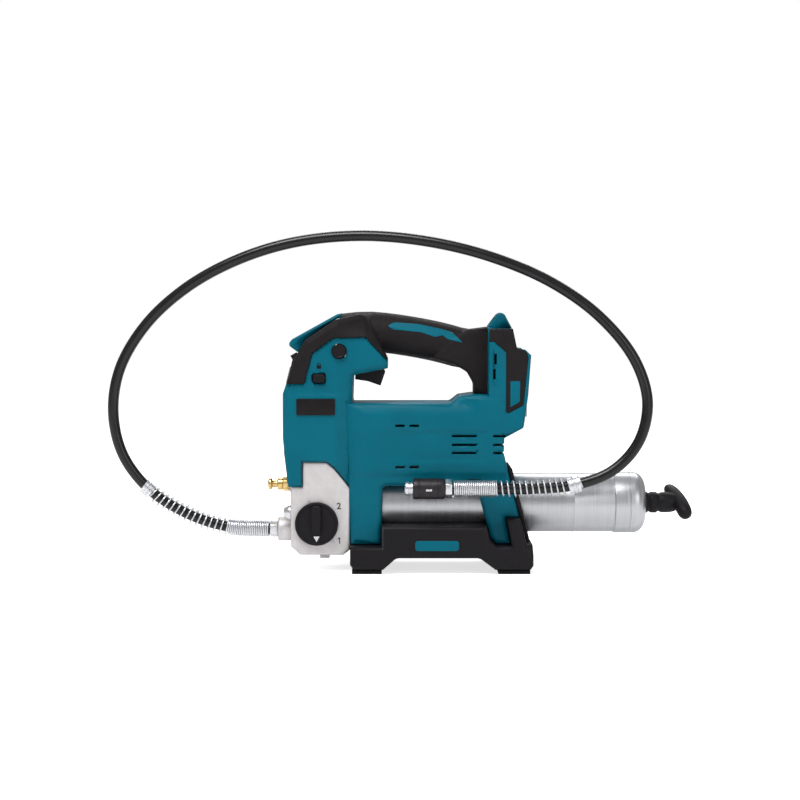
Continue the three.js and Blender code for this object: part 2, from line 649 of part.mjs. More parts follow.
function terminalBlock() {
  return block([28 + GAP, 39.6], [-15.6, 15.6], [158 + GAP, 207 - GAP])
    .subtract(join(...[-1, 1].map((side) => block([33, 45], [side * 10 - 2.5, side * 10 + 2.5], [170, 215]))));
}

function terminalBlade(side) {
  return block([33 + GAP, 38.6], [side * 10 - 0.4, side * 10 + 0.4], [171, 196]);
}

// ---- Hose ----

// The route of the hose's middle line, from the outlet round the arch to the coupler on the left side.
const ROUTE = [
  [OUTLET_FACE - GAP, 0, OUTLET_Z], [-248, 0, 40], [-288, 0, 53], [-325, 0, 77], [-350, -2, 111],
  [-359, -3, 152], [-352, -5, 195], [-326, -9, 238], [-286, -13, 274], [-236, -18, 301], [-180, -23, 318],
  [-115, -29, 324], [-50, -36, 318], [10, -42, 303], [66, -47, 279], [112, -51, 246], [145, -54, 205],
  [157, -55, 165], [149, -56, 128], [125, -57, 101], [90, -57, 87], [50, -57, COUPLER_Z],
  [10, -57, COUPLER_Z], [-28.6, COUPLER_Y, COUPLER_Z],
].map((p) => new THREE.Vector3(...p));
const route = new THREE.CatmullRomCurve3(ROUTE);
const ROUTE_LENGTH = route.getLength();

// The stretch of the route between two distances from the outlet.
function stretch(from, to, points) {
  const at = (i) => route.getPointAt((from + ((to - from) * i) / points) / ROUTE_LENGTH);
  return new THREE.CatmullRomCurve3(Array.from({ length: points + 1 }, (_, i) => at(i)));
}

const FRONT_GUARD = [0.5, 123];
const REAR_GUARD = [ROUTE_LENGTH - 113, ROUTE_LENGTH - 0.5];

function guard([from, to]) {
  return swept(stretch(from, to, 8), 9, COIL_D / 2, { inner: COIL_D / 2 - COIL_WIRE, sides: 10 });
}

function ferrule(from, to) {
  return swept(stretch(from, to, 2), 2, COIL_D / 2 - 0.4, { inner: HOSE_D / 2 + 1.2, sides: 14 });
}

function couplerNut() {
  return turned([[-35.2, 9.3], [-28.9, 9.3]], { y: COUPLER_Y, z: COUPLER_Z, segments: 6 });
}

function couplerSleeve() {
  return turned([[-66, 9], [-65, 10], [-37, 10], [-36, 9], [-35.5, 9]], { y: COUPLER_Y, z: COUPLER_Z, segments: 20 });
}

function couplerNozzle() {
  return turned([[-73.9, 5.8], [-73, 6.6], [-66.3, 6.6]], { y: COUPLER_Y, z: COUPLER_Z, segments: 24 })
    .subtract(bar('x', 3.6, -80, -68, [COUPLER_Y, COUPLER_Z]));
}

// A clip on the housing's left side that holds the rear guard from behind.
function hoseClip() {
  const face = -BODY_WIDTH / 2 - GAP;
  const reach = COIL_D / 2 + GAP;
  const arm = block([-14, 0], [COUPLER_Y + 2, face], [COUPLER_Z - 7.5, COUPLER_Z + 7.5]);
  return arm.subtract(bar('x', reach, -60, 60, [COUPLER_Y, COUPLER_Z], 28));
}

// ---- Materials and assembly ----

const finish = (color, roughness, metalness = 0) => new THREE.MeshStandardMaterial({ color, roughness, metalness });
const TEAL = finish(0x04788c, 0.45);
const BLACK = finish(0x262328, 0.7);
const RUBBER = finish(0x1d1b1f, 0.8);
const CAST = finish(0xc4c1c3, 0.5, 0.8);
const STEEL = finish(0xb9babd, 0.35, 0.9);
const ZINC = finish(0xd0d2d4, 0.3, 0.9);
const BRASS = finish(0xc8a44c, 0.35, 0.9);
const COPPER = finish(0xb06a3a, 0.4, 0.9);
const BOARD = finish(0x1e5c35, 0.6);
const LENS = finish(0xe8f0f4, 0.1);
const HOSE = finish(0x151416, 0.35);

const tool = new THREE.Group();

function place(name, shape, material) {
  const { vertProperties, triVerts } = shape.getMesh();
  const geometry = new THREE.BufferGeometry();
  geometry.setAttribute('position', new THREE.BufferAttribute(new Float32Array(vertProperties), 3));
  geometry.setIndex(new THREE.BufferAttribute(new Uint32Array(triVerts), 1));
  geometry.computeVertexNormals();
  const mesh = new THREE.Mesh(geometry, material);
  mesh.name = name;
  tool.add(mesh);
}

const shells = housing();
const gripCovers = cover(gripCoverRoom(0));
const rearCovers = cover(rearCoverRoom(0));
for (const [side, half] of [['left', LEFT], ['right', RIGHT]]) {
  place(`housing_${side}`, shells.intersect(half), TEAL);
  place(`grip_cover_${side}`, gripCovers.intersect(half), BLACK);
  place(`rear_cover_${side}`, rearCovers.intersect(half), BLACK);
}
place('front_strap_hook', frontHook(), TEAL);
place('rear_strap_hook', rearHook(), TEAL);
place('lamp_housing', lampHousing(), BLACK);
place('lamp_lens', lampLens(), LENS);
place('rating_plate', ratingPlate(), BLACK);
place('pump_block', pumpBlock(), CAST);
place('outlet_fitting', outletFitting(), ZINC);
place('loader_nipple', loaderNipple(), BRASS);
place('bleeder_valve', bleederValve(), ZINC);
place('speed_dial', speedDial(), BLACK);
place('plunger', plunger(), STEEL);
place('crank_gear', crankGear(), STEEL);
place('gear_plate', gearPlate(), CAST);
place('drive_pinion', toothed(PINION_TEETH, GEAR_WIDTH, GEAR_X, MOTOR_Z), STEEL);
place('motor_can', motorCan(), STEEL);
place('armature', armature(), COPPER);
place('cooling_fan', coolingFan(), BLACK);
place('barrel', barrel(), STEEL);
place('barrel_cap', barrelCap(), STEEL);
place('barrel_collar', collar(), RUBBER);
place('follower_cup', followerCup(), RUBBER);
place('follower_spring', followerSpring(), STEEL);
place('follower_rod', followerRod(), STEEL);
place('tee_handle', teeHandle(), RUBBER);
place('base_stand', baseStand(), BLACK);
place('front_foot_pad', footPad(-124.5, -96), RUBBER);
place('rear_foot_pad', footPad(16, 46.4), RUBBER);
place('trigger', trigger(), BLACK);
place('trigger_spring', bar('z', 2.5, 201.2, 210.6, [-108, 0], 12), STEEL);
place('switch_unit', block([-124, -105], [-8, 8], [211, 222]), BLACK);
place('lock_off_button', lockOffButton(), BLACK);
place('lock_on_button', lockOnButton(), BLACK);
place('control_board', block([-184, -182.4], [-22, 22], [134, 168]), BOARD);
place('terminal_block', terminalBlock(), BLACK);
for (const [side, sign] of [['left', -1], ['right', 1]]) {
  place(`terminal_blade_${side}`, terminalBlade(sign), BRASS);
  place(`battery_rail_${side}`, batteryRail(sign), STEEL);
}
SCREWS.forEach(([x, z, width], i) => {
  const head = bar('y', SCREW_HEAD_D / 2, width / 2 - 6.4, width / 2 - 3.4, [x, z], 12);
  const shank = bar('y', SCREW_D / 2, 7.6 - width / 2, width / 2 - 6, [x, z], 8);
  place(`housing_screw_${i + 1}`, join(head, shank), ZINC);
});
place('hose', swept(route, 46, HOSE_D / 2, { sides: 8 }), HOSE);
place('hose_guard_front', guard(FRONT_GUARD), ZINC);
place('hose_guard_rear', guard(REAR_GUARD), ZINC);
place('ferrule_front', ferrule(FRONT_GUARD[1] + FERRULE_GAP, FRONT_GUARD[1] + 12), ZINC);
place('ferrule_rear', ferrule(REAR_GUARD[0] - 9, REAR_GUARD[0] - FERRULE_GAP), ZINC);
place('coupler_nut', couplerNut(), ZINC);
place('coupler_sleeve', couplerSleeve(), BLACK);
place('coupler_nozzle', couplerNozzle(), ZINC);
place('hose_clip', hoseClip(), BLACK);

export default tool;
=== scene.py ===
# Cordless grease gun: a battery tool whose die-cast pump sends grease from a steel barrel through a hose.
# Metres and +Z up. X runs back from the hose outlet to the T-handle, and the tool's left side faces -Y.
import math

import bmesh
import bpy
from mathutils import Matrix, Vector


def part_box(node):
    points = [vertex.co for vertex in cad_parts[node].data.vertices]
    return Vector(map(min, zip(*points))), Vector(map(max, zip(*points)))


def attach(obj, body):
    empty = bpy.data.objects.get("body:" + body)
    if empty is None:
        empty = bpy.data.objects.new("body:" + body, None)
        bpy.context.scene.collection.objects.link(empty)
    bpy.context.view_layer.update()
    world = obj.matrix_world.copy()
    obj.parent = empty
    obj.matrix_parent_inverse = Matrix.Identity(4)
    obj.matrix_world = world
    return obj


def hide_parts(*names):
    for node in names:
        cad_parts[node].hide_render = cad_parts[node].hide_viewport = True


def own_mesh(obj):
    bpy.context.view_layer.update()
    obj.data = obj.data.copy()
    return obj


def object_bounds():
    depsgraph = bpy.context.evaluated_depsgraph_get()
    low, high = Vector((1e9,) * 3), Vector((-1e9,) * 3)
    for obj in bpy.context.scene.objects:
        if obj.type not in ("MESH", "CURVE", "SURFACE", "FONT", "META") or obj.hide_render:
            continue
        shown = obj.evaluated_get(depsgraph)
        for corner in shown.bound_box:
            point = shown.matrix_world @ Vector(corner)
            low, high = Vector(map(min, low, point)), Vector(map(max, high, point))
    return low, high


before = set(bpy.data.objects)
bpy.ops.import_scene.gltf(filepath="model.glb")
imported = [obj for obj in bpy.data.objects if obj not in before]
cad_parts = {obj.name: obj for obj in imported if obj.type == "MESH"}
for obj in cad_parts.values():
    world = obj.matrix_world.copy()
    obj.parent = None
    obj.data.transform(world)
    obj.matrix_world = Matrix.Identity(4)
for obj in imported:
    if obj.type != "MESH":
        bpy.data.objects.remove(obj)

cad_low, cad_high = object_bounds()

# ---- Camera ----
# A long portrait lens, square to the tool's left side and a little above it.
LENS_MM = 85
SENSOR_MM = 36
VIEW_WIDTH = 0.784
RAISED = math.radians(3)

aim = Vector(((cad_low.x + cad_high.x) / 2, 0, (cad_low.z + cad_high.z) / 2))
camera = bpy.data.objects.new("camera", bpy.data.cameras.new("camera"))
camera.data.lens = LENS_MM
camera.data.sensor_width = SENSOR_MM
bpy.context.scene.collection.objects.link(camera)
bpy.context.scene.camera = camera
bpy.context.scene.view_settings.view_transform = "Standard"
back = Vector((0, -math.cos(RAISED), math.sin(RAISED)))
camera.location = aim + back * (VIEW_WIDTH * LENS_MM / SENSOR_MM)
camera.rotation_euler = (-back).to_track_quat("-Z", "Y").to_euler()

# ---- High-pressure hose ----
# A wire-braided nylon hose of 10.5 mm with a smooth black jacket, extruded in one length.
# It is crimped into the outlet at the front, arches over the tool and ends in the coupler on its left.
MM = 0.001
HOSE_D = 10.5 * MM
ROUTE_STEPS = 920
HOSE_RINGS = 260
HOSE_ROUTE = [
    (-206.1, 0, 38), (-248, 0, 40), (-288, 0, 53), (-325, 0, 77), (-350, -2, 111),
    (-359, -3, 152), (-352, -5, 195), (-326, -9, 238), (-286, -13, 274), (-236, -18, 301),
    (-180, -23, 318), (-115, -29, 324), (-50, -36, 318), (10, -42, 303), (66, -47, 279),
    (112, -51, 246), (145, -54, 205), (157, -55, 165), (149, -56, 128), (125, -57, 101),
    (90, -57, 87), (50, -57, 83), (10, -57, 83), (-28.6, -57, 83),
]


def linear(colour):
    """An sRGB hex colour as linear red, green, blue and alpha."""
    channels = [int(colour[i:i + 2], 16) / 255 for i in (1, 3, 5)]
    return [*(c / 12.92 if c < 0.04045 else ((c + 0.055) / 1.055) ** 2.4 for c in channels), 1]


def add_node(tree, kind, settings=None, values=None, links=None):
    """One shader node with its settings, its input values and the sockets that feed it."""
    node = tree.nodes.new(kind)
    for name, value in (settings or {}).items():
        setattr(node, name, value)
    for name, value in (values or {}).items():
        node.inputs[name].default_value = value
    for name, socket in (links or {}).items():
        tree.links.new(socket, node.inputs[name])
    return node


def raw_material(name, colour, roughness, metallic=0, ior=1.5, specular=0.5):
    """A material's start: its tree, its surface shader and the place on the piece."""
    material = bpy.data.materials.new(name)
    material.use_nodes = True
    tree = material.node_tree
    shader = tree.nodes["Principled BSDF"]
    shader.inputs["Base Color"].default_value = linear(colour)
    shader.inputs["Roughness"].default_value = roughness
    shader.inputs["Metallic"].default_value = metallic
    if not metallic:
        shader.inputs["IOR"].default_value = ior
        shader.inputs["Specular IOR Level"].default_value = specular
    place = add_node(tree, "ShaderNodeTexCoord").outputs["Object"]
    return material, tree, shader, place


def two_tone(tree, shader, place, dark, light, patch_mm):
    """Slow drifts of colour over patches of a real size."""
    drift = add_node(tree, "ShaderNodeTexNoise", values={"Scale": 1 / (patch_mm * MM), "Detail": 3},
                     links={"Vector": place})
    mixed = add_node(tree, "ShaderNodeMix", {"data_type": "RGBA"}, {6: linear(dark), 7: linear(light)},
                     {0: drift.outputs["Fac"]})
    tree.links.new(mixed.outputs[2], shader.inputs["Base Color"])


def uneven_gloss(tree, shader, place, low, high, patch_mm):
    """Roughness that wanders between two values, as handling and the mould's polish leave it."""
    drift = add_node(tree, "ShaderNodeTexNoise", values={"Scale": 1 / (patch_mm * MM), "Detail": 4},
                     links={"Vector": place})
    spread = add_node(tree, "ShaderNodeMapRange",
                      values={"From Min": 0.3, "From Max": 0.7, "To Min": low, "To Max": high},
                      links={"Value": drift.outputs["Fac"]})
    tree.links.new(spread.outputs["Result"], shader.inputs["Roughness"])


# Extruded thermoplastic polyurethane: near black and glossy, with faint draw lines from the die.
hose_rubber, tree, shader, place = raw_material("extruded_polyurethane", "#100f11", 0.26, specular=0.4)
two_tone(tree, shader, place, "#0c0c0e", "#161518", patch_mm=18)
uneven_gloss(tree, shader, place, 0.2, 0.3, patch_mm=9)


def eased(points, u):
    """The point at share u of a centripetal curve through the route's points."""
    spot = u * (len(points) - 1)
    i = min(int(spot), len(points) - 2)
    near, far = points[i], points[i + 1]
    before = points[i - 1] if i > 0 else 2 * near - far
    after = points[i + 2] if i + 2 < len(points) else 2 * far - near
    a, b, c = [math.sqrt((q - p).length) for p, q in ((before, near), (near, far), (far, after))]
    leave = ((near - before) / a - (far - before) / (a + b) + (far - near) / b) * b
    arrive = ((far - near) / b - (after - near) / (b + c) + (after - far) / c) * b
    t = spot - i
    bend = -3 * near + 3 * far - 2 * leave - arrive
    twist = 2 * near - 2 * far + leave + arrive
    return near + leave * t + bend * t ** 2 + twist * t ** 3


route = [Vector(p) * MM for p in HOSE_ROUTE]
hose_line = [eased(route, i / ROUTE_STEPS) for i in range(ROUTE_STEPS + 1)]
run = [0.0]
for p, q in zip(hose_line, hose_line[1:]):
    run.append(run[-1] + (q - p).length)


def along(distance):
    """The hose's middle and its direction at a distance from the outlet."""
    i = next((k for k, done in enumerate(run[1:]) if done >= distance), len(run) - 2)
    share = (distance - run[i]) / (run[i + 1] - run[i])
    return hose_line[i].lerp(hose_line[i + 1], share), (hose_line[i + 1] - hose_line[i]).normalized()


def drawn(name, points, diameter, sides=3):
    """A curve that is a round wire or hose along its points, with closed ends."""
    data = bpy.data.curves.new(name, "CURVE")
    data.dimensions = "3D"
    data.bevel_depth = diameter / 2
    data.bevel_resolution = sides
    data.use_fill_caps = True
    spline = data.splines.new("POLY")
    spline.points.add(len(points) - 1)
    for knot, p in zip(spline.points, points):
        knot.co = (*p, 1)
    return bpy.data.objects.new(name, data)


def wire(name, points, diameter, material, body, stands_for, sides=3):
    """A round wire or hose as a curve that rides on its body."""
    made = drawn(name, points, diameter, sides)
    made.data.materials.append(material)
    bpy.context.scene.collection.objects.link(made)
    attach(made, body)
    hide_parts(*stands_for)
    return made


hose = wire("hose_jacket", [along(run[-1] * i / HOSE_RINGS)[0] for i in range(HOSE_RINGS + 1)], HOSE_D,
            hose_rubber, "frame", ["hose"], sides=6)

# ---- Spring guards ----
# Zinc-plated spring wire of 1.6 mm, wound close over the fittings and then open along the hose.
# They keep it from kinking where it leaves the outlet and the coupler.
WIRE_D = 1.6 * MM
GUARD_D = 16.6 * MM
GUARD_GAP = 0.8 * MM
CLOSE_RUN = 41 * MM
GUARD_RUN = 122.5 * MM
OPEN_PITCH = 5.8 * MM
CLOSE_PITCH = 1.8 * MM
POINTS_A_TURN = 22

# Bright zinc on drawn steel wire: a metal with a cool grey mirror and a soft bloom of passivation.
zinc_plate, tree, shader, place = raw_material("zinc_plated_steel", "#c9cbd0", 0.24, metallic=1)
two_tone(tree, shader, place, "#d4d6db", "#ededf0", patch_mm=5)
uneven_gloss(tree, shader, place, 0.28, 0.4, patch_mm=3)


def coil(start, direction):
    """A close then open winding round the hose, from a fitting outwards."""
    points, done, angle = [], 0.0, 0.0
    while done < GUARD_RUN:
        middle, forward = along(start + direction * done)
        across = forward.cross(Vector((0, 1, 0))).normalized()
        out = across * math.cos(angle) + across.cross(forward) * math.sin(angle)
        points.append(middle + out * (GUARD_D - WIRE_D) / 2)
        done += (CLOSE_PITCH if done < CLOSE_RUN else OPEN_PITCH) / POINTS_A_TURN
        angle += 2 * math.pi / POINTS_A_TURN
    return points


guards = [
    wire(f"spring_guard_{end}", coil(start, direction), WIRE_D, zinc_plate, "frame",
         [f"hose_guard_{end}"], sides=2)
    for end, start, direction in (("front", GUARD_GAP, 1), ("rear", run[-1] - GUARD_GAP, -1))
]

# ---- Ferrules ----
# Steel rings, turned and zinc plated, with two rolled grooves in each.
# They are crimped on the hose and hold each guard's last turn.
FERRULE_AT = {"front": 123.9 * MM, "rear": run[-1] - 122 * MM}
FERRULE = [(0, 5.6), (0, 7.5), (0.5, 7.9), (2.9, 7.9), (3.3, 7.3), (3.9, 7.3), (4.3, 7.9), (6.6, 7.9),
           (7, 7.3), (7.6, 7.3), (8, 7.9), (10.1, 7.9), (10.6, 7.5), (10.6, 5.6)]


def lathe(profile, middle, steps=64, ring=False):
    """A shape turned about X from (x, radius) in millimetres: a profile that meets the axis, or a ring's."""
    shape = bmesh.new()
    points = [shape.verts.new((x * MM, middle.y, middle.z + r * MM)) for x, r in profile]
    pairs = list(zip(points, points[1:])) + ([(points[-1], points[0])] if ring else [])
    lines = [shape.edges.new(pair) for pair in pairs]
    bmesh.ops.spin(shape, geom=points + lines, cent=middle, axis=(1, 0, 0), angle=2 * math.pi,
                   steps=steps, use_merge=True)
    bmesh.ops.remove_doubles(shape, verts=shape.verts, dist=0.001 * MM)
    bmesh.ops.recalc_face_normals(shape, faces=shape.faces)
    return shape


def piece(name, shape, material, body, stands_for=(), sharp=32):
    """A finished piece: smooth where it curves, crisp past an angle, riding on its body."""
    mesh = bpy.data.meshes.new(name)
    shape.to_mesh(mesh)
    shape.free()
    mesh.materials.append(material)
    mesh.shade_smooth()
    mesh.set_sharp_from_angle(angle=math.radians(sharp))
    made = bpy.data.objects.new(name, mesh)
    bpy.context.scene.collection.objects.link(made)
    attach(made, body)
    if stands_for:
        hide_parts(*stands_for)
    return made


for end, place_on_hose in FERRULE_AT.items():
    shape = lathe(FERRULE, Vector((0, 0, 0)), 48, ring=True)
    middle, forward = along(place_on_hose)
    turn = forward.to_track_quat("X", "Z").to_matrix().to_4x4()
    bmesh.ops.transform(shape, matrix=Matrix.Translation(middle) @ turn, verts=shape.verts)
    piece(f"guard_ferrule_{end}", shape, zinc_plate, "frame",
                          [f"ferrule_{end}"])

# ---- Coupler ----
# The hydraulic coupler that bites on a grease fitting: a plated hex body and nozzle, turned from bar,
# and a black sleeve with rolled grooves that is screwed up to close the jaws.
COUPLER_Y = -57 * MM
COUPLER_Z = 83 * MM
coupler_middle = Vector((0, COUPLER_Y, COUPLER_Z))


def crisp(shape, width, segments=2, angle=30):
    """Breaks every edge that is sharper than an angle by a width in millimetres."""
    edges = [e for e in shape.edges if len(e.link_faces) == 2
             and e.calc_face_angle(0) > math.radians(angle)]
    bmesh.ops.bevel(shape, geom=edges, offset=width * MM, segments=segments, affect="EDGES",
                    profile=0.5, material=-1, clamp_overlap=True)
    return shape


def hexagon(start, stop, corner_r, bore_r, middle):
    """A hexagon nut along X with a chamfered rim and a bore, in millimetres."""
    half = [(start, bore_r), (start, corner_r), (stop, corner_r), (stop, bore_r)]
    return crisp(lathe(half, middle, 6, ring=True), 0.6)


nut_low, nut_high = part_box("coupler_nut")
nut_shape = hexagon(nut_low.x / MM, nut_high.x / MM, corner_r=9.3, bore_r=5.4, middle=coupler_middle)
nut = piece("coupler_hexagon", nut_shape, zinc_plate, "frame", ["coupler_nut"])

# The real grain of a moulded or tumbled skin is about 0.2 mm. It is drawn 0.7 to 0.9 mm to show.
GRAIN_DEPTH = 0.1 * MM


def grained(tree, shader, place, grain_mm, strength, edge_mm):
    """A fine pebbled skin over edges that the mould left slightly round."""
    edge = add_node(tree, "ShaderNodeBevel", {"samples": 6}, {"Radius": edge_mm * MM})
    pebble = add_node(tree, "ShaderNodeTexNoise", values={"Scale": 1 / (grain_mm * MM), "Detail": 2},
                      links={"Vector": place})
    skin = add_node(tree, "ShaderNodeBump", values={"Strength": strength, "Distance": GRAIN_DEPTH},
                    links={"Height": pebble.outputs["Fac"], "Normal": edge.outputs["Normal"]})
    tree.links.new(skin.outputs["Normal"], shader.inputs["Normal"])


# Black-oxidised steel: a dark metal with an oily, low sheen. On the screw heads the same dark metal is
# painted shade for their sockets.
black_oxide_and_socket_shade, tree, shader, place = raw_material("black_oxide_steel_and_socket_shade", "#2b282b", 0.42, metallic=0.55)
two_tone(tree, shader, place, "#211f22", "#383437", patch_mm=4)
uneven_gloss(tree, shader, place, 0.34, 0.5, patch_mm=3)
grained(tree, shader, place, grain_mm=0.8, strength=0.15, edge_mm=0.25)

SLEEVE = [(-66, 0), (-66, 8.9), (-65.4, 9.7), (-64.6, 10), (-61, 10), (-60.7, 9.7), (-60.1, 9.7),
          (-59.8, 10), (-43, 10), (-42.7, 9.7), (-42.1, 9.7), (-41.8, 10), (-37.4, 10), (-36.4, 9.6),
          (-35.5, 8.8), (-35.5, 0)]
sleeve = piece("coupler_grip_sleeve", lathe(SLEEVE, coupler_middle, 72), black_oxide_and_socket_shade, "frame",
               ["coupler_sleeve"])


def add_block(shape, size, middle):
    """The shape with one more block in it."""
    corners = bmesh.ops.create_cube(shape, size=1)["verts"]
    bmesh.ops.scale(shape, vec=size, verts=corners)
    bmesh.ops.translate(shape, vec=middle, verts=corners)
    return shape


SLOT_SIZE = (5.8 * MM, 0.6 * MM, 2 * MM)
SLOT_MIDDLE = (-51 * MM, COUPLER_Y - 9.9 * MM, COUPLER_Z - 0.6 * MM)
sleeve_slot = piece("coupler_inspection_slot", crisp(add_block(bmesh.new(), SLOT_SIZE, SLOT_MIDDLE), 0.2),
                    zinc_plate, "frame")

NOZZLE = [(-69.4, 0), (-69.4, 2.6), (-73.9, 2.6), (-73.9, 5.4), (-73.4, 6.2), (-72.8, 6.6), (-70.2, 6.6),
          (-69.6, 5.9), (-68.4, 5.9), (-68, 6.5), (-66.3, 6.5), (-66.3, 0)]
nozzle = piece("coupler_jaw_nozzle", lathe(NOZZLE, coupler_middle, 56), zinc_plate, "frame",
               ["coupler_nozzle"])

# ---- Outlet fitting ----
# A steel hexagon turned from bar, zinc plated and screwed into the pump's outlet boss.
# It holds the hose's end.
OUTLET_Z = 38 * MM
BOSS_FACE = -198.3
outlet_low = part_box("outlet_fitting")[0]
outlet_shape = hexagon(outlet_low.x / MM, BOSS_FACE, corner_r=8.4, bore_r=4.4,
                       middle=Vector((0, 0, OUTLET_Z)))
piece("outlet_hexagon", outlet_shape, zinc_plate, "frame", ["outlet_fitting"])

# ---- Pump block ----
# The pump body: one aluminium pressure die casting, tumbled and left bare.
# The outlet boss, the loader's boss and the lug under it are cast with it.


def sound_copy(node, gap_mm=0.002):
    """A CAD node's shape with its corners joined, ready to be worked on."""
    shape = bmesh.new()
    shape.from_mesh(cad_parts[node].data)
    bmesh.ops.remove_doubles(shape, verts=shape.verts, dist=gap_mm * MM)
    bmesh.ops.dissolve_degenerate(shape, edges=shape.edges, dist=gap_mm * MM)
    return shape


def even_light(made):
    """Lets broad faces keep their own direction, so that only the rims look round."""
    weighted = made.modifiers.new("weighted_normals", "WEIGHTED_NORMAL")
    weighted.keep_sharp = True
    weighted.weight = 80


def refined(node, material, body, sharp=50):
    """A CAD node's own shape, joined and lit evenly, in place of its plain triangles."""
    even_light(piece(f"{node}_skin", sound_copy(node), material, body, [node], sharp))


# Tumbled aluminium die casting: a pale warm grey metal, matt, with a fine stony grain and cloudy patches.
cast_aluminium, tree, shader, place = raw_material("tumbled_aluminium_casting", "#d6d2d3", 0.5, metallic=0.5)
two_tone(tree, shader, place, "#c8c4c5", "#dfdbdb", patch_mm=7)
uneven_gloss(tree, shader, place, 0.44, 0.6, patch_mm=4)
grained(tree, shader, place, grain_mm=0.9, strength=0.28, edge_mm=0.9)

refined("pump_block", cast_aluminium, "frame", sharp=40)

# ---- Flow dial ----
# A glass-filled nylon knob, injection moulded, with a finger bar across it and a white arrow.
# It clicks between the two flow settings on a pin in the block.
DIAL_X = -158.8 * MM
DIAL_Z = 46.7 * MM
DIAL_R = 20.9
DIAL_FACE = -39.3
DIAL_BACK = -33.35
BAR_HALF = 4.4
BAR_TOP = 18
BAR_BOTTOM = 10
BAR_FRONT = -44.2
BAR_FLARE = 0.4
BAR_NARROW = 0.8

# Glass-filled nylon, moulded black: a satin skin with a fine spark-eroded grain.
black_nylon, tree, shader, place = raw_material("black_glass_filled_nylon", "#161417", 0.5, ior=1.53,
                                                specular=0.16)
two_tone(tree, shader, place, "#131114", "#1b181c", patch_mm=11)
uneven_gloss(tree, shader, place, 0.42, 0.56, patch_mm=6)
grained(tree, shader, place, grain_mm=0.8, strength=0.22, edge_mm=0.5)


def upright(shape, x, z):
    """Turns a lathed shape from the X axis to face -Y at a place on the tool's side."""
    turn = Matrix.Translation((x, 0, z)) @ Matrix.Rotation(math.pi / 2, 4, "Z")
    bmesh.ops.transform(shape, matrix=turn, verts=shape.verts)
    bmesh.ops.recalc_face_normals(shape, faces=shape.faces)
    return shape


def slab(outline, near, far, corner=0.0, rim=0.0, steps=3):
    """A plate cut to an outline of (x, z) millimetres, from y near to y far, with rounded corners."""
    shape = bmesh.new()
    face = shape.faces.new([shape.verts.new((x * MM, near * MM, z * MM)) for x, z in outline])
    if corner:
        bmesh.ops.bevel(shape, geom=face.verts[:], offset=corner * MM, segments=steps, affect="VERTICES",
                        profile=0.5, material=-1, clamp_overlap=True)
    grown = bmesh.ops.extrude_face_region(shape, geom=shape.faces[:])
    moved = [v for v in grown["geom"] if isinstance(v, bmesh.types.BMVert)]
    bmesh.ops.translate(shape, vec=(0, (far - near) * MM, 0), verts=moved)
    bmesh.ops.recalc_face_normals(shape, faces=shape.faces)
    if rim:
        crisp(shape, rim, 3, 50)
    return shape


DIAL = [(DIAL_BACK, 0), (DIAL_BACK, DIAL_R - 0.6), (DIAL_BACK - 0.6, DIAL_R), (DIAL_FACE + 1.2, DIAL_R),
        (DIAL_FACE + 0.4, DIAL_R - 0.4), (DIAL_FACE, DIAL_R - 1.2), (DIAL_FACE, DIAL_R - 2.4),
        (DIAL_FACE + 0.7, DIAL_R - 3.1), (DIAL_FACE + 1.1, 0)]
dial_shape = lathe([(-y, r) for y, r in DIAL], Vector((0, 0, 0)), 96)
bmesh.ops.scale(dial_shape, vec=(-1, 1, 1), verts=dial_shape.verts)
dial_shape = upright(dial_shape, DIAL_X, DIAL_Z)
piece("dial_disc", dial_shape, black_nylon, "speed_dial", ["speed_dial"])

dial_x, dial_z = DIAL_X / MM, DIAL_Z / MM
bar_outline = [(dial_x - BAR_HALF + BAR_NARROW, dial_z - BAR_BOTTOM),
               (dial_x - BAR_HALF - BAR_FLARE, dial_z + 3),
               (dial_x - BAR_HALF, dial_z + BAR_TOP), (dial_x + BAR_HALF, dial_z + BAR_TOP),
               (dial_x + BAR_HALF + BAR_FLARE, dial_z + 3),
               (dial_x + BAR_HALF - BAR_NARROW, dial_z - BAR_BOTTOM)]
bar_shape = slab(bar_outline, BAR_FRONT, DIAL_FACE + 1.6, corner=2.6, rim=1.1, steps=5)
piece("dial_finger_bar", bar_shape, black_nylon, "speed_dial")

# White enamel ink in a moulded recess: opaque, with a low gloss.
white_ink, tree, shader, place = raw_material("white_enamel_ink", "#efeff0", 0.45)
two_tone(tree, shader, place, "#e6e6e7", "#f6f6f6", patch_mm=2)

ARROW_Z = dial_z - 14.4
ARROW = [(-3, 2.6), (3, 2.6), (0, -2.8)]
arrow_shape = slab([(dial_x + x, ARROW_Z + z) for x, z in ARROW], DIAL_FACE + 0.35, DIAL_FACE + 1.6,
                   corner=0.3, steps=2)
piece("dial_arrow", arrow_shape, white_ink, "speed_dial")

# ---- Flow marks ----
# The figures 1 and 2 beside the dial, one for each flow setting.
# They are pad printed in dark grey on the casting.
BLOCK_SIDE = -33 * MM
MARK_RADIUS = 27.2 * MM
MARK_HEIGHT = 6.2 * MM
FIGURE_SIZE = 1.38
FIGURE_BOLD = 0.04
TWO_ANGLE = 38
ONE_ANGLE = -37
INK_MM = 0.05
ONE = [(-0.2, -3), (-0.2, 1.5), (-1.6, 0.8), (-1.6, 1.8), (0, 3), (0.9, 3), (0.9, -3)]

# Pad-printing ink: a thin, matt, near-black film.
print_ink, tree, shader, place = raw_material("pad_print_ink", "#3a3638", 0.6)
two_tone(tree, shader, place, "#332f31", "#454143", patch_mm=1.5)


def marked_at(degrees):
    """The place of a figure round the dial."""
    turned = math.radians(degrees)
    return DIAL_X + MARK_RADIUS * math.cos(turned), DIAL_Z + MARK_RADIUS * math.sin(turned)


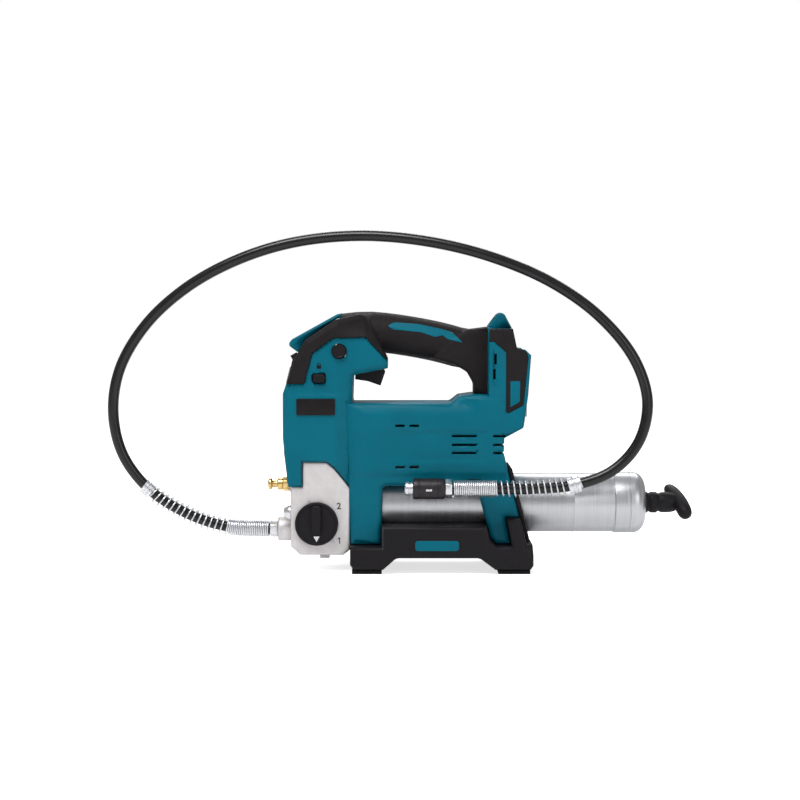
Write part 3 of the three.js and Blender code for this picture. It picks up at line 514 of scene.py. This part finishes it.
two_x, two_z = marked_at(TWO_ANGLE)
figure = bpy.data.curves.new("flow_mark_2", "FONT")
figure.body = "2"
figure.size = MARK_HEIGHT * FIGURE_SIZE
figure.align_x = "CENTER"
figure.align_y = "CENTER"
figure.offset = MARK_HEIGHT * FIGURE_BOLD
figure.extrude = INK_MM * MM
figure.resolution_u = 6
blank = bpy.data.objects.new("flow_mark_2", figure)
figure_mesh = bpy.data.meshes.new_from_object(blank)
bpy.data.objects.remove(blank)
two_shape = bmesh.new()
two_shape.from_mesh(figure_mesh)
stand = Matrix.Translation((two_x, BLOCK_SIDE, two_z)) @ Matrix.Rotation(math.pi / 2, 4, "X")
bmesh.ops.transform(two_shape, matrix=stand, verts=two_shape.verts)
piece("flow_mark_2", two_shape, print_ink, "frame")

one_x, one_z = marked_at(ONE_ANGLE)
one_outline = [(one_x / MM + x, one_z / MM + z) for x, z in ONE]
one_shape = slab(one_outline, BLOCK_SIDE / MM - INK_MM, BLOCK_SIDE / MM + INK_MM)
piece("flow_mark_1", one_shape, print_ink, "frame")

# ---- Loader nipple ----
# The fitting that a bulk pump fills the barrel through.
# It is turned from brass hexagon bar and screwed into the block.
NIPPLE_Z = 82.1 * MM

# Turned free-cutting brass: a warm yellow metal with fine rings left by the tool, slightly dulled.
brass, tree, shader, place = raw_material("turned_brass", "#e8c67c", 0.26, metallic=1)
two_tone(tree, shader, place, "#d9b063", "#f6dfa3", patch_mm=4)
uneven_gloss(tree, shader, place, 0.2, 0.36, patch_mm=3)
grained(tree, shader, place, grain_mm=0.7, strength=0.1, edge_mm=0.3)

NIPPLE = [(-208, 0), (-208, 2.6), (-207.4, 4.2), (-206.8, 5.3), (-206.2, 5.7), (-204.9, 5.7), (-204.3, 5.2),
          (-203.6, 3.8), (-202.8, 3.5), (-199, 3.5), (-198.5, 4), (-198.3, 5.5), (-197.9, 5.9), (-193.8, 5.9),
          (-193.2, 5.4), (-193.2, 0)]
nipple_middle = Vector((0, 0, NIPPLE_Z))
piece("nipple_head", lathe(NIPPLE, nipple_middle, 56), brass, "frame", ["loader_nipple"])
nipple_hex = hexagon(-193, -186.7, corner_r=7.2, bore_r=3, middle=nipple_middle)
piece("nipple_hexagon", nipple_hex, brass, "frame")

# ---- Bleeder valve ----
# A small screw with a rounded head beside the outlet, opened to let trapped air out.
# It is turned from steel and zinc plated.
BLEEDER_Y = -18 * MM
BLEEDER_Z = 56 * MM
BLEEDER = [(-191.4, 0), (-191.4, 3.2), (-191.2, 3.8), (-190.6, 4.6), (-186.8, 6.6), (-186.2, 6.9),
           (-184.7, 6.9), (-184.3, 6.5), (-184.3, 0)]
bleeder_shape = lathe(BLEEDER, Vector((0, BLEEDER_Y, BLEEDER_Z)), 48)
piece("bleeder_cap", crisp(bleeder_shape, 0.1), zinc_plate, "bleeder_valve",
      ["bleeder_valve"])

# ---- Barrel and its cap ----
# The grease barrel is drawn steel tube with a rolled bead, and its cap is spun to a dome.
# Both are satin polished as they turn, and lacquered.
BARREL_Z = 64 * MM
BARREL_R = 28.75
BARREL_WALL = 1.6
barrel_middle = Vector((0, 0, BARREL_Z))

# Satin steel: a mid grey metal whose fine polishing lines run round the tube. Real ones are about
# 0.1 mm apart, and these are drawn 0.9 mm apart so that they show.
LINE_MM = 0.9
satin_steel, tree, shader, place = raw_material("satin_polished_steel", "#c2c3c6", 0.34, metallic=1)
stretch = add_node(tree, "ShaderNodeMapping", values={"Scale": (1, 0.02, 0.02)}, links={"Vector": place})
lines = add_node(tree, "ShaderNodeTexNoise", values={"Scale": 1 / (LINE_MM * MM), "Detail": 3},
                 links={"Vector": stretch.outputs["Vector"]})
tone = add_node(tree, "ShaderNodeMix", {"data_type": "RGBA"}, {6: linear("#b4b5b9"), 7: linear("#d2d3d6")},
                {0: lines.outputs["Fac"]})
tree.links.new(tone.outputs[2], shader.inputs["Base Color"])
gloss = add_node(tree, "ShaderNodeMapRange",
                 values={"From Min": 0.3, "From Max": 0.7, "To Min": 0.3, "To Max": 0.42},
                 links={"Value": lines.outputs["Fac"]})
tree.links.new(gloss.outputs["Result"], shader.inputs["Roughness"])
scored = add_node(tree, "ShaderNodeBump", values={"Strength": 0.12, "Distance": 0.05 * MM},
                  links={"Height": lines.outputs["Fac"]})
tree.links.new(scored.outputs["Normal"], shader.inputs["Normal"])

tube_low, tube_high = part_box("barrel")
front, end = tube_low.x / MM, tube_high.x / MM
inner = BARREL_R - BARREL_WALL
BEAD_X = 91
BEAD = [(-1.3, 0), (-0.9, 0.1), (-0.5, 0.36), (0, 0.42), (0.5, 0.36), (0.9, 0.1), (1.3, 0)]
BARREL = [(front, inner), (front, BARREL_R - 0.4), (front + 0.4, BARREL_R),
          *((BEAD_X + x, BARREL_R + height) for x, height in BEAD),
          (end - 0.4, BARREL_R), (end, BARREL_R - 0.4), (end, inner)]
piece("barrel_tube", lathe(BARREL, barrel_middle, 128, ring=True), satin_steel, "frame",
      ["barrel"])

cap_low, cap_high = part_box("barrel_cap")
lip, tail = cap_low.x / MM, cap_high.x / MM
CAP_R = BARREL_R + 1.1
CAP_DOME = 12
CAP_FALL = 1.12
CAP_HOLE = 4.4
CAP_WALL = 3
GROOVE = [(-5, 0), (-4.6, 0.35), (-4, 0.35), (-3.6, 0)]
shoulder_x = tail - CAP_DOME
dome = [(shoulder_x + CAP_DOME * math.sin(a), CAP_R - CAP_DOME * (1 - math.cos(a)) * CAP_FALL)
        for a in [math.radians(k) for k in range(0, 91, 9)]]
CAP = [(lip + 1, 20), (lip, 29.2), (lip, CAP_R - 0.6), (lip + 0.5, CAP_R - 0.1), (lip + 1.2, CAP_R),
       *((shoulder_x + x, CAP_R - depth) for x, depth in GROOVE),
       *dome, (tail, CAP_HOLE), (tail - CAP_WALL, CAP_HOLE), (tail - CAP_WALL, 20)]
piece("cap_dome", lathe(CAP, barrel_middle, 128, ring=True), satin_steel, "frame",
      ["barrel_cap"])

# ---- T-handle ----
# The follower's pull: nylon moulded over the end of the rod, with grip rings on its neck
# and a bowed bar across it that also locks the rod.
NECK = [(174, 0), (170, 4.5), (161.6, 4.5), (161.6, 9.9), (162, 10.3), (164, 10.3), (164.7, 9.6),
        (165.4, 9.2), (166.2, 9.3), (167, 10), (167.8, 10.3), (172.6, 10.3), (173.5, 9.8), (174.5, 8.9),
        (175.5, 8.8), (176.6, 9.4), (177.8, 9.9), (181, 10.1), (186, 9.9), (190, 9.2), (194, 7.4),
        (196.6, 4), (197.4, 0)]
piece("tee_neck", lathe(NECK, barrel_middle, 72), black_nylon, "follower",
      ["tee_handle"])

bow_start = Vector((186.5, 22.4, 76.5)) * MM
bow_pull = Vector((195.6, 0, 70)) * MM
bow_end = Vector((200.4, -22.4, 51.5)) * MM
BOW_STEPS = 24
BOW_R = 5.4
BOW_TAPER = 1.8
BOW_SWELL = 0.8
BOW_END_POWER = 8
BOW_END_LEAST = 0.04
bow_shape = bmesh.new()
rings = []
for step in range(BOW_STEPS + 1):
    t = step / BOW_STEPS
    middle = bow_start * (1 - t) ** 2 + bow_pull * 2 * t * (1 - t) + bow_end * t ** 2
    forward = ((bow_pull - bow_start) * (1 - t) + (bow_end - bow_pull) * t).normalized()
    end_round = math.sqrt(max(1 - (2 * t - 1) ** BOW_END_POWER, BOW_END_LEAST))
    radius = BOW_R + BOW_TAPER * t + BOW_SWELL * math.sin(math.pi * t)
    ring = bmesh.ops.create_circle(bow_shape, radius=radius * MM * end_round, segments=28)["verts"]
    turn = Matrix.Translation(middle) @ forward.to_track_quat("Z", "X").to_matrix().to_4x4()
    bmesh.ops.transform(bow_shape, matrix=turn, verts=ring)
    rings.append([e for e in bow_shape.edges if e.verts[0] in ring and e.verts[1] in ring])
for ring, following in zip(rings, rings[1:]):
    bmesh.ops.bridge_loops(bow_shape, edges=ring + following)
bmesh.ops.holes_fill(bow_shape, edges=rings[0] + rings[-1], sides=0)
bmesh.ops.recalc_face_normals(bow_shape, faces=bow_shape.faces)
piece("tee_bar", bow_shape, black_nylon, "follower")

# ---- Collar ----
# A black rubber ring plate between the housing's back wall and the barrel, moulded flat and leaning.
# Moulded nitrile rubber: matt, with a soft bloom.
nitrile, tree, shader, place = raw_material("moulded_nitrile_rubber", "#151315", 0.72, ior=1.52,
                                            specular=0.15)
two_tone(tree, shader, place, "#141215", "#201e21", patch_mm=6)
uneven_gloss(tree, shader, place, 0.64, 0.82, patch_mm=4)
grained(tree, shader, place, grain_mm=0.7, strength=0.25, edge_mm=0.4)
refined("barrel_collar", nitrile, "frame")

# ---- Base ----
# The stand under the tool: one nylon moulding bolted to the housing's pillars, with a waist that
# fingers pass under, a coloured inlay and two rubber foot pads.
refined("base_stand", black_nylon, "frame")
PAD_RIBS = 5
RIB_SHARE = 0.45
RIB_PROUD = 0.3 * MM
RIB_HEIGHT = 1.4 * MM
RIB_Z = 1.9 * MM
for pad in ("front_foot_pad", "rear_foot_pad"):
    refined(pad, nitrile, "frame")
    pad_low, pad_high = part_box(pad)
    treads = bmesh.new()
    pitch = (pad_high.x - pad_low.x) / (PAD_RIBS + 1)
    rib_size = (pitch * RIB_SHARE, pad_high.y - pad_low.y + 2 * RIB_PROUD, RIB_HEIGHT)
    for row in range(1, PAD_RIBS + 1):
        add_block(treads, rib_size, (pad_low.x + row * pitch, 0, RIB_Z))
    piece(f"{pad}_ribs", crisp(treads, 0.25), nitrile, "frame")

# ---- Housing ----
# Two glass-filled nylon shells, injection moulded in blue-green and screwed together along the middle.
# Their sides are crowned and step in to a shoulder at the top of the motor.
# The skin has a fine spark-eroded grain: satin, with soft broad highlights.
teal_nylon, tree, shader, place = raw_material("teal_glass_filled_nylon", "#006073", 0.42, ior=1.53,
                                               specular=0.1)
two_tone(tree, shader, place, "#005a6c", "#00687c", patch_mm=34)
uneven_gloss(tree, shader, place, 0.36, 0.48, patch_mm=8)
grained(tree, shader, place, grain_mm=0.9, strength=0.1, edge_mm=0.5)

# The shell's flat levels, and how far each part of its skin lies inside them, in millimetres.
SIDE_Y = 39
HEAD_Y = 36
SEAT_Y = 33.3
SHOULDER_IN = 5
WAIST_IN = 4.5
BELT_IN = 1.1
SKIRT_IN = 1.4
NOSE_IN = 2.2
HEAD_IN = 1.7
VALLEY_IN = 1.6
NECK_IN = 15

# Where each part's slope starts and ends.
MOTOR_FRONT = -131
MOTOR_TOP = 164.5
COLUMN_FRONT = -35
COLUMN_FOOT = 172
HEAD_REAR = -60
SHOULDER = (150, 176)
SHOULDER_END = (-18, 2)
WAIST = (-128, -110)
BELT_LOW, BELT_HIGH = (106, 109), (135, 138)
BELT_FRONT, BELT_REAR = (-96, -91), (2, 8)
SKIRT = (92, 97)
NOSE = (-191, -176)
LEDGE_TOP, LEDGE_END = (168.3, 174), (-140, -133)
VALLEY_START, VALLEY_TOP = (-141, -128), (168, 186)
NECK_SLOPE = (-152, -98)
NECK_RUN = 15
COVER_EDGE_X, COVER_EDGE_Z, COVER_EDGE_SLOPE = -112, 226.4, 1.04


def rise(value, low, high):
    """A smooth step from 0 to 1 between two values."""
    t = min(max((value - low) / (high - low), 0), 1)
    return t * t * (3 - 2 * t)


def fall(value, low, high):
    """A smooth step from 1 to 0 between two values."""
    return 1 - rise(value, low, high)


def neck_relief(x, z):
    """How far the head's upper part is drawn in towards the slimmer handle, in millimetres."""
    edge = COVER_EDGE_Z - COVER_EDGE_SLOPE * max(x - COVER_EDGE_X, 0)
    return NECK_IN * rise(x, *NECK_SLOPE) * rise(z, edge, edge + NECK_RUN)


def side_relief(x, z):
    """How far the shell's flat side is drawn in at a place, in millimetres."""
    if x > MOTOR_FRONT and z < (COLUMN_FOOT if x > COLUMN_FRONT else MOTOR_TOP):
        shoulder = SHOULDER_IN * min(2 * rise(z, *SHOULDER), 1) * fall(x, *SHOULDER_END)
        belt = BELT_IN * (rise(z, *BELT_LOW) - rise(z, *BELT_HIGH))
        belt *= rise(x, *BELT_FRONT) * fall(x, *BELT_REAR)
        return max(shoulder, WAIST_IN * fall(x, *WAIST)) + belt + SKIRT_IN * fall(z, *SKIRT)
    if x > HEAD_REAR:
        return 0
    ledge = fall(z, *LEDGE_TOP) * fall(x, *LEDGE_END)
    valley = VALLEY_IN * rise(x, *VALLEY_START) * fall(z, *VALLEY_TOP)
    return NOSE_IN * fall(x, *NOSE) + HEAD_IN * (1 - ledge) + valley + neck_relief(x, z)


GRID_MM = 3
FLAT_WITHIN = 0.05


def worked_in(shape, low, high, levels, reach, relief):
    """Cuts the flat sides at these levels into a grid, and draws all beyond a reach in by the relief."""
    def flat(vert):
        return any(abs(abs(vert.co.y) / MM - level) < FLAT_WITHIN for level in levels)

    for axis, start, stop in ((0, low.x, high.x), (2, low.z, high.z)):
        normal = Vector((axis == 0, 0, axis == 2))
        for cut in range(1, int((stop - start) / MM / GRID_MM)):
            at = normal * (start + cut * GRID_MM * MM)
            flats = [f for f in shape.faces if all(flat(v) for v in f.verts)]
            parts = set(flats) | {e for f in flats for e in f.edges} | {v for f in flats for v in f.verts}
            bmesh.ops.bisect_plane(shape, geom=list(parts), plane_co=at, plane_no=normal, dist=0.01 * MM)
    for vert in shape.verts:
        if abs(vert.co.y) > reach * MM:
            depth = relief(vert.co.x / MM, vert.co.z / MM)
            vert.co.y -= math.copysign(depth * MM, vert.co.y)
    bmesh.ops.triangulate(shape, faces=[f for f in shape.faces if len(f.verts) > 4])
    return shape


# The head's flat side dips slightly along one line, which is brought back to the level.
DIP_LOW, DIP_HIGH, DIP_DEPTH = 114, 116, 0.4
SHELL_REACH = 29
for side in ("left", "right"):
    shell = sound_copy(f"housing_{side}")
    for vert in shell.verts:
        in_dip = DIP_LOW < vert.co.z / MM < DIP_HIGH
        if in_dip and HEAD_Y - DIP_DEPTH < abs(vert.co.y) / MM < HEAD_Y:
            vert.co.y = math.copysign(HEAD_Y * MM, vert.co.y)
    shell = worked_in(shell, *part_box(f"housing_{side}"), (SIDE_Y, HEAD_Y, SEAT_Y), SHELL_REACH, side_relief)
    even_light(piece(f"housing_shell_{side}", shell, teal_nylon, "frame",
                     [f"housing_{side}"], 48))

# ---- Soft covers ----
# Thermoplastic elastomer moulded over the head and handle, 2.4 mm thick, for grip.
# Its skin is finely textured: near black with a brown cast, and it shines only at a low angle.
elastomer, tree, shader, place = raw_material("moulded_thermoplastic_elastomer", "#1c191b", 0.62,
                                              specular=0.15)
two_tone(tree, shader, place, "#181516", "#211d1f", patch_mm=16)
uneven_gloss(tree, shader, place, 0.56, 0.7, patch_mm=5)
grained(tree, shader, place, grain_mm=0.8, strength=0.4, edge_mm=0.5)
COVER_REACH = 24
for side in ("left", "right"):
    cover = f"grip_cover_{side}"
    shape = worked_in(sound_copy(cover), *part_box(cover), (HEAD_Y, SEAT_Y), COVER_REACH, neck_relief)
    even_light(piece(f"{cover}_skin", shape, elastomer, "frame", [cover], 48))
    refined(f"rear_cover_{side}", elastomer, "frame", sharp=48)


def inlay(name, node, outline, material, raised=0.3, corner=1.2):
    """A coloured inlay cut out of a cover's own shape along an outline, standing slightly proud."""
    low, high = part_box(node)
    blank = slab(outline, low.y / MM - 3, high.y / MM + 3, corner, steps=4)
    cutter = bpy.data.objects.new("cutter", bpy.data.meshes.new("cutter"))
    blank.to_mesh(cutter.data)
    blank.free()
    body = bpy.data.objects.new("cut_body", bpy.data.meshes.new("cut_body"))
    skin = sound_copy(node)
    skin.to_mesh(body.data)
    skin.free()
    for part in (cutter, body):
        bpy.context.scene.collection.objects.link(part)
    cut = body.modifiers.new("cut", "BOOLEAN")
    cut.operation = "INTERSECT"
    cut.solver = "EXACT"
    cut.object = cutter
    bpy.context.view_layer.update()
    shape = bmesh.new()
    shape.from_mesh(body.evaluated_get(bpy.context.evaluated_depsgraph_get()).to_mesh())
    for part in (cutter, body):
        bpy.data.objects.remove(part)
    shape.normal_update()
    lifts = {v: v.normal.copy() for v in shape.verts}
    for vert, lift in lifts.items():
        vert.co += lift * raised * MM
    even_light(piece(name, shape, material, "frame", (), 48))


GRIP_STRIP = [(-90, 237.6), (-84, 240.6), (-60, 238.8), (-38, 234), (-28, 231), (-18, 221.4),
              (-32, 224.6), (-37, 228.6), (-44, 226.8), (-58, 231.4), (-86, 234.2)]
REAR_PANEL = [(27.8, 184.4), (36.8, 184.4), (36.4, 165), (27.8, 159.8)]
for side in ("left", "right"):
    inlay(f"grip_strip_{side}", f"grip_cover_{side}", GRIP_STRIP, teal_nylon)
    inlay(f"rear_panel_{side}", f"rear_cover_{side}", REAR_PANEL, teal_nylon, raised=0.25,
          corner=0.8)

BASE_INLAY = [(-63.8, 22.9), (-63.8, 32.6), (-22.1, 32.6), (-22.1, 22.9)]
INLAY_SUNK = 0.985
INLAY_PROUD = 1.004
base_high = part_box("base_stand")[1]
for side, sign in (("left", -1), ("right", 1)):
    face = sign * base_high.y / MM
    panel = slab(BASE_INLAY, face * INLAY_SUNK, face * INLAY_PROUD, corner=2.6, rim=0.2, steps=5)
    piece(f"base_inlay_{side}", panel, teal_nylon, "frame")

# ---- Strap hooks ----
# Two eyes for a shoulder strap, at the head's nose and on top of the battery column.
# They are moulded of the housing's nylon, in its colour, and held between the shells.
refined("front_strap_hook", teal_nylon, "frame")
refined("rear_strap_hook", teal_nylon, "frame")

# ---- Work lamp ----
# A small lamp in the head's nose that lights the grease fitting.
# Its frame is moulded of black nylon, with a clear lens snapped over the light.
refined("lamp_housing", black_nylon, "frame")

# Moulded polycarbonate: clear and glossy, with a faint cold tint.
polycarbonate, tree, shader, place = raw_material("clear_polycarbonate", "#e4edf2", 0.08, ior=1.58)
shader.inputs["Transmission Weight"].default_value = 0.6
two_tone(tree, shader, place, "#d8e4ea", "#f2f7fa", patch_mm=3)
refined("lamp_lens", polycarbonate, "frame")

# ---- Rating plate ----
# A blank printed foil label in a shallow recess under a moulded ledge.
# Printed polyester film: near black, smooth and even, with a low gloss.
label_foil, tree, shader, place = raw_material("printed_polyester_label", "#191617", 0.38, specular=0.15)
two_tone(tree, shader, place, "#161314", "#1d1a1b", patch_mm=6)
uneven_gloss(tree, shader, place, 0.3, 0.42, patch_mm=10)
plate_low, plate_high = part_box("rating_plate")
plate_outline = [(x / MM, z / MM) for x, z in ((plate_low.x, plate_low.z), (plate_low.x, plate_high.z),
                                               (plate_high.x, plate_high.z), (plate_high.x, plate_low.z))]
plate_shape = slab(plate_outline, plate_low.y / MM, plate_high.y / MM, corner=1.2, rim=0.1)
piece("label_foil", plate_shape, label_foil, "frame", ["rating_plate"])

# ---- Trigger and lock buttons ----
# A curved trigger on a pin, a round cross-bolt that locks it off and a small key that locks it on.
# All three are moulded of black nylon.
refined("trigger", black_nylon, "trigger")

OFF_X = -136.9 * MM
OFF_Z = 213 * MM
off_low, off_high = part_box("lock_off_button")
reach_left, reach_right = off_low.y / MM, off_high.y / MM
BOLT_LEFT = [(0.9, 0), (0.7, 4.6), (0, 5.4), (0, 6.2), (0.5, 6.8), (1.1, 7)]
BOLT_RIGHT = [(-1.1, 7), (-0.4, 6.7), (0, 6), (0, 0)]
BOLT = [(reach_left + y, r) for y, r in BOLT_LEFT] + [(reach_right + y, r) for y, r in BOLT_RIGHT]
bolt_shape = upright(lathe(BOLT, Vector((0, 0, 0)), 56), OFF_X, OFF_Z)
piece("lock_off_bolt", bolt_shape, black_nylon, "lock_off_button", ["lock_off_button"])
RING = [(-34.9, 7.5), (-34.9, 8.6), (-34.6, 9), (-33.5, 9), (-33.5, 7.5)]
ring_shape = upright(lathe(RING, Vector((0, 0, 0)), 56, ring=True), OFF_X, OFF_Z)
piece("lock_off_surround", ring_shape, teal_nylon, "frame")

refined("lock_on_button", black_nylon, "lock_on_button")
key_low, key_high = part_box("lock_on_button")
key_x = (key_low.x + key_high.x) / 2
RIDGES = 3
RIDGE_SIZE = (7 * MM, 0.5 * MM, 0.7 * MM)
RIDGE_Y = key_low.y + 0.05 * MM
FIRST_RIDGE = 2.2 * MM
RIDGE_PITCH = 2 * MM
for rib in range(RIDGES):
    ridge = add_block(bmesh.new(), RIDGE_SIZE, (key_x, RIDGE_Y, key_low.z + FIRST_RIDGE + RIDGE_PITCH * rib))
    piece(f"lock_on_ridge_{rib + 1}", crisp(ridge, 0.2), black_nylon, "lock_on_button")

# A padlock sign over the key, moulded into the shell.
SIGN_X = -156.3
SIGN_Z = 196.5
SIGN_NEAR = -34.6
SIGN_FAR = -34
SIGN_BODY = [(-2.1, 0), (-2.1, 3), (2.1, 3), (2.1, 0)]
SHACKLE_UP = 3.6
sign = slab([(SIGN_X + x, SIGN_Z + z) for x, z in SIGN_BODY], SIGN_NEAR, SIGN_FAR, corner=0.3)
piece("lock_sign_body", sign, black_nylon, "frame")
SHACKLE = [(SIGN_NEAR, 1.2), (SIGN_NEAR, 1.8), (SIGN_FAR, 1.8), (SIGN_FAR, 1.2)]
shackle = upright(lathe(SHACKLE, Vector((0, 0, 0)), 32, ring=True), SIGN_X * MM, (SIGN_Z + SHACKLE_UP) * MM)
piece("lock_sign_shackle", shackle, black_nylon, "frame")

# ---- Hose clip ----
# An open clip moulded of black nylon, fixed to the housing's side.
# The coupler's guard snaps into it for storage.
refined("hose_clip", black_nylon, "frame")

# ---- Battery seat ----
# Steel rails, a nylon terminal block and two brass blades, which a slide-on battery pack meets.
# All are held between the shells.

# Machined steel: a plain mid grey metal with fine cutter marks.
machined_steel, tree, shader, place = raw_material("machined_steel", "#a3a4a8", 0.36, metallic=1)
two_tone(tree, shader, place, "#909196", "#b3b4b8", patch_mm=3)
uneven_gloss(tree, shader, place, 0.28, 0.44, patch_mm=2)
grained(tree, shader, place, grain_mm=0.7, strength=0.12, edge_mm=0.3)
for side in ("left", "right"):
    refined(f"battery_rail_{side}", machined_steel, "frame")
    refined(f"terminal_blade_{side}", brass, "frame")
refined("terminal_block", black_nylon, "frame")

# ---- Housing screws ----
# Thread-forming steel screws with a six-sided socket, zinc plated.
# They are driven from the right side through moulded bosses.
SCREWS = 6
# The sockets are not cut. Each is a thin dark hexagon set on the zinc head, as painted shade for the recess.
SHADE_DISC_R = 1.7 * MM
SHADE_DISC_THICKNESS = 0.3 * MM
SHADE_DISC_PROUD = 0.05 * MM
for number in range(1, SCREWS + 1):
    node = f"housing_screw_{number}"
    refined(node, zinc_plate, "frame")
    screw_low, screw_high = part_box(node)
    socket = bmesh.new()
    bmesh.ops.create_cone(socket, cap_ends=True, segments=6, radius1=SHADE_DISC_R, radius2=SHADE_DISC_R,
                          depth=SHADE_DISC_THICKNESS)
    middle = (screw_low + screw_high) / 2
    seat = Matrix.Translation((middle.x, screw_high.y + SHADE_DISC_PROUD, middle.z))
    turn = seat @ Matrix.Rotation(math.pi / 2, 4, "X")
    bmesh.ops.transform(socket, matrix=turn, verts=socket.verts)
    piece(f"screw_socket_shade_{number}", socket, black_oxide_and_socket_shade, "frame")

# ---- Drive and follower ----
# What the shells hide: a brushed motor, its fan and pinion, the crank wheel that works the plunger,
# and the follower that presses the grease forward.

# Lacquered copper wire: a red-brown metal under a clear coat.
lacquered_copper, tree, shader, place = raw_material("lacquered_copper_wire", "#b06a3a", 0.34, metallic=1)
two_tone(tree, shader, place, "#96552b", "#c47f4c", patch_mm=2)

# Solder-resisted circuit board: a dark green glossy film over glass fibre.
circuit_board, tree, shader, place = raw_material("solder_resisted_board", "#1e5c35", 0.35)
two_tone(tree, shader, place, "#18502d", "#256b40", patch_mm=4)

INSIDE = [
    ("plunger", machined_steel, "plunger", "machined_steel"),
    ("crank_gear", machined_steel, "crank", "machined_steel"),
    ("gear_plate", cast_aluminium, "frame", "cast_aluminium"),
    ("drive_pinion", machined_steel, "rotor", "machined_steel"),
    ("motor_can", machined_steel, "frame", "machined_steel"),
    ("armature", lacquered_copper, "rotor", "copper_windings"),
    ("cooling_fan", black_nylon, "rotor", "black_nylon"),
    ("follower_cup", nitrile, "follower", "foot_rubber"),
    ("follower_rod", zinc_plate, "follower", "zinc_plate"),
    ("switch_unit", black_nylon, "frame", "black_nylon"),
    ("control_board", circuit_board, "frame", "board"),
]
for node, material, body, slot in INSIDE:
    refined(node, material, body)


POINTS_A_COIL = 24


def helix(radius, pitch, start, stop, middle, along_z=False):
    """A spring's wire line between two ends, in millimetres."""
    points = []
    for k in range(int((stop - start) / pitch * POINTS_A_COIL) + 1):
        turned = k / POINTS_A_COIL
        a, b = radius * math.cos(turned * 2 * math.pi), radius * math.sin(turned * 2 * math.pi)
        c = start + pitch * turned
        points.append(Vector((a, b, c) if along_z else (c, a, b)) * MM + middle)
    return points


def spring(name, points, diameter, body, node):
    """A coil spring as a mesh."""
    blank = drawn("spring_blank", points, diameter)
    mesh = bpy.data.meshes.new_from_object(blank)
    bpy.data.objects.remove(blank)
    shape = bmesh.new()
    shape.from_mesh(mesh)
    return piece(name, shape, machined_steel, body, [node], 60)


spring_low, spring_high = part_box("follower_spring")
follower_line = helix(radius=19.6, pitch=11, start=spring_low.x / MM + 1, stop=spring_high.x / MM - 1,
                      middle=barrel_middle)
follower_spring = spring("follower_coil_spring", follower_line, 2.2 * MM, "frame", "follower_spring")
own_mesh(follower_spring)

return_low, return_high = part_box("trigger_spring")
return_middle = Vector(((return_low.x + return_high.x) / 2, 0, 0))
return_line = helix(radius=2, pitch=1.6, start=return_low.z / MM + 0.4, stop=return_high.z / MM - 0.4,
                    middle=return_middle, along_z=True)
return_spring = spring("trigger_coil_spring", return_line, 0.7 * MM, "frame", "trigger_spring")
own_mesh(return_spring)

# ---- Studio ----
# A pale seamless floor that glows a little, as a lit sweep does, and large soft lights:
# a key from the upper left, a fill and a rim behind.
AMBIENT = 0.38
FLOOR_HALF = 6
FLOOR_GLOW = 0.1
FLOOR_GLOW_SEEN = 0.6
WHITE = (1, 1, 1, 1)
floor_shape = bmesh.new()
bmesh.ops.create_grid(floor_shape, x_segments=1, y_segments=1, size=FLOOR_HALF)
floor_mesh = bpy.data.meshes.new("floor")
floor_shape.to_mesh(floor_mesh)
floor_shape.free()

# Matt white paper, lit from behind where the camera sees it.
paper, tree, shader, place = raw_material("white_studio_paper", "#f8f8f8", 0.9)
shader.inputs["Emission Color"].default_value = WHITE
floor_seen = add_node(tree, "ShaderNodeLightPath")
floor_glow = add_node(tree, "ShaderNodeMath", {"operation": "MULTIPLY_ADD"},
                      {1: FLOOR_GLOW_SEEN, 2: FLOOR_GLOW}, {0: floor_seen.outputs["Is Camera Ray"]})
tree.links.new(floor_glow.outputs["Value"], shader.inputs["Emission Strength"])
floor_mesh.materials.append(paper)
floor = bpy.data.objects.new("floor", floor_mesh)
bpy.context.scene.collection.objects.link(floor)

world = bpy.data.worlds.new("studio")
bpy.context.scene.world = world
world.use_nodes = True
tree = world.node_tree
seen = add_node(tree, "ShaderNodeLightPath")
ambient = tree.nodes["Background"]
ambient.inputs["Color"].default_value = WHITE
ambient.inputs["Strength"].default_value = AMBIENT
backdrop = add_node(tree, "ShaderNodeBackground", values={"Color": WHITE, "Strength": 1})
either = add_node(tree, "ShaderNodeMixShader",
                  links={0: seen.outputs["Is Camera Ray"], 1: ambient.outputs["Background"],
                         2: backdrop.outputs["Background"]})
tree.links.new(either.outputs["Shader"], tree.nodes["World Output"].inputs["Surface"])


def softbox(name, at, width, height, watts):
    """A large soft light that looks at the tool's middle."""
    light = bpy.data.lights.new(name, "AREA")
    light.shape = "RECTANGLE"
    light.size = width
    light.size_y = height
    light.energy = watts
    made = bpy.data.objects.new(name, light)
    made.location = at
    made.rotation_euler = (aim - Vector(at)).to_track_quat("-Z", "Y").to_euler()
    bpy.context.scene.collection.objects.link(made)


softbox("key", at=(-0.6, -0.9, 1.9), width=1.2, height=0.8, watts=33)
softbox("fill", at=(1.1, -1.5, 0.7), width=1.0, height=1.0, watts=6)
softbox("rim", at=(0.2, 1.4, 1.4), width=1.6, height=0.5, watts=12)
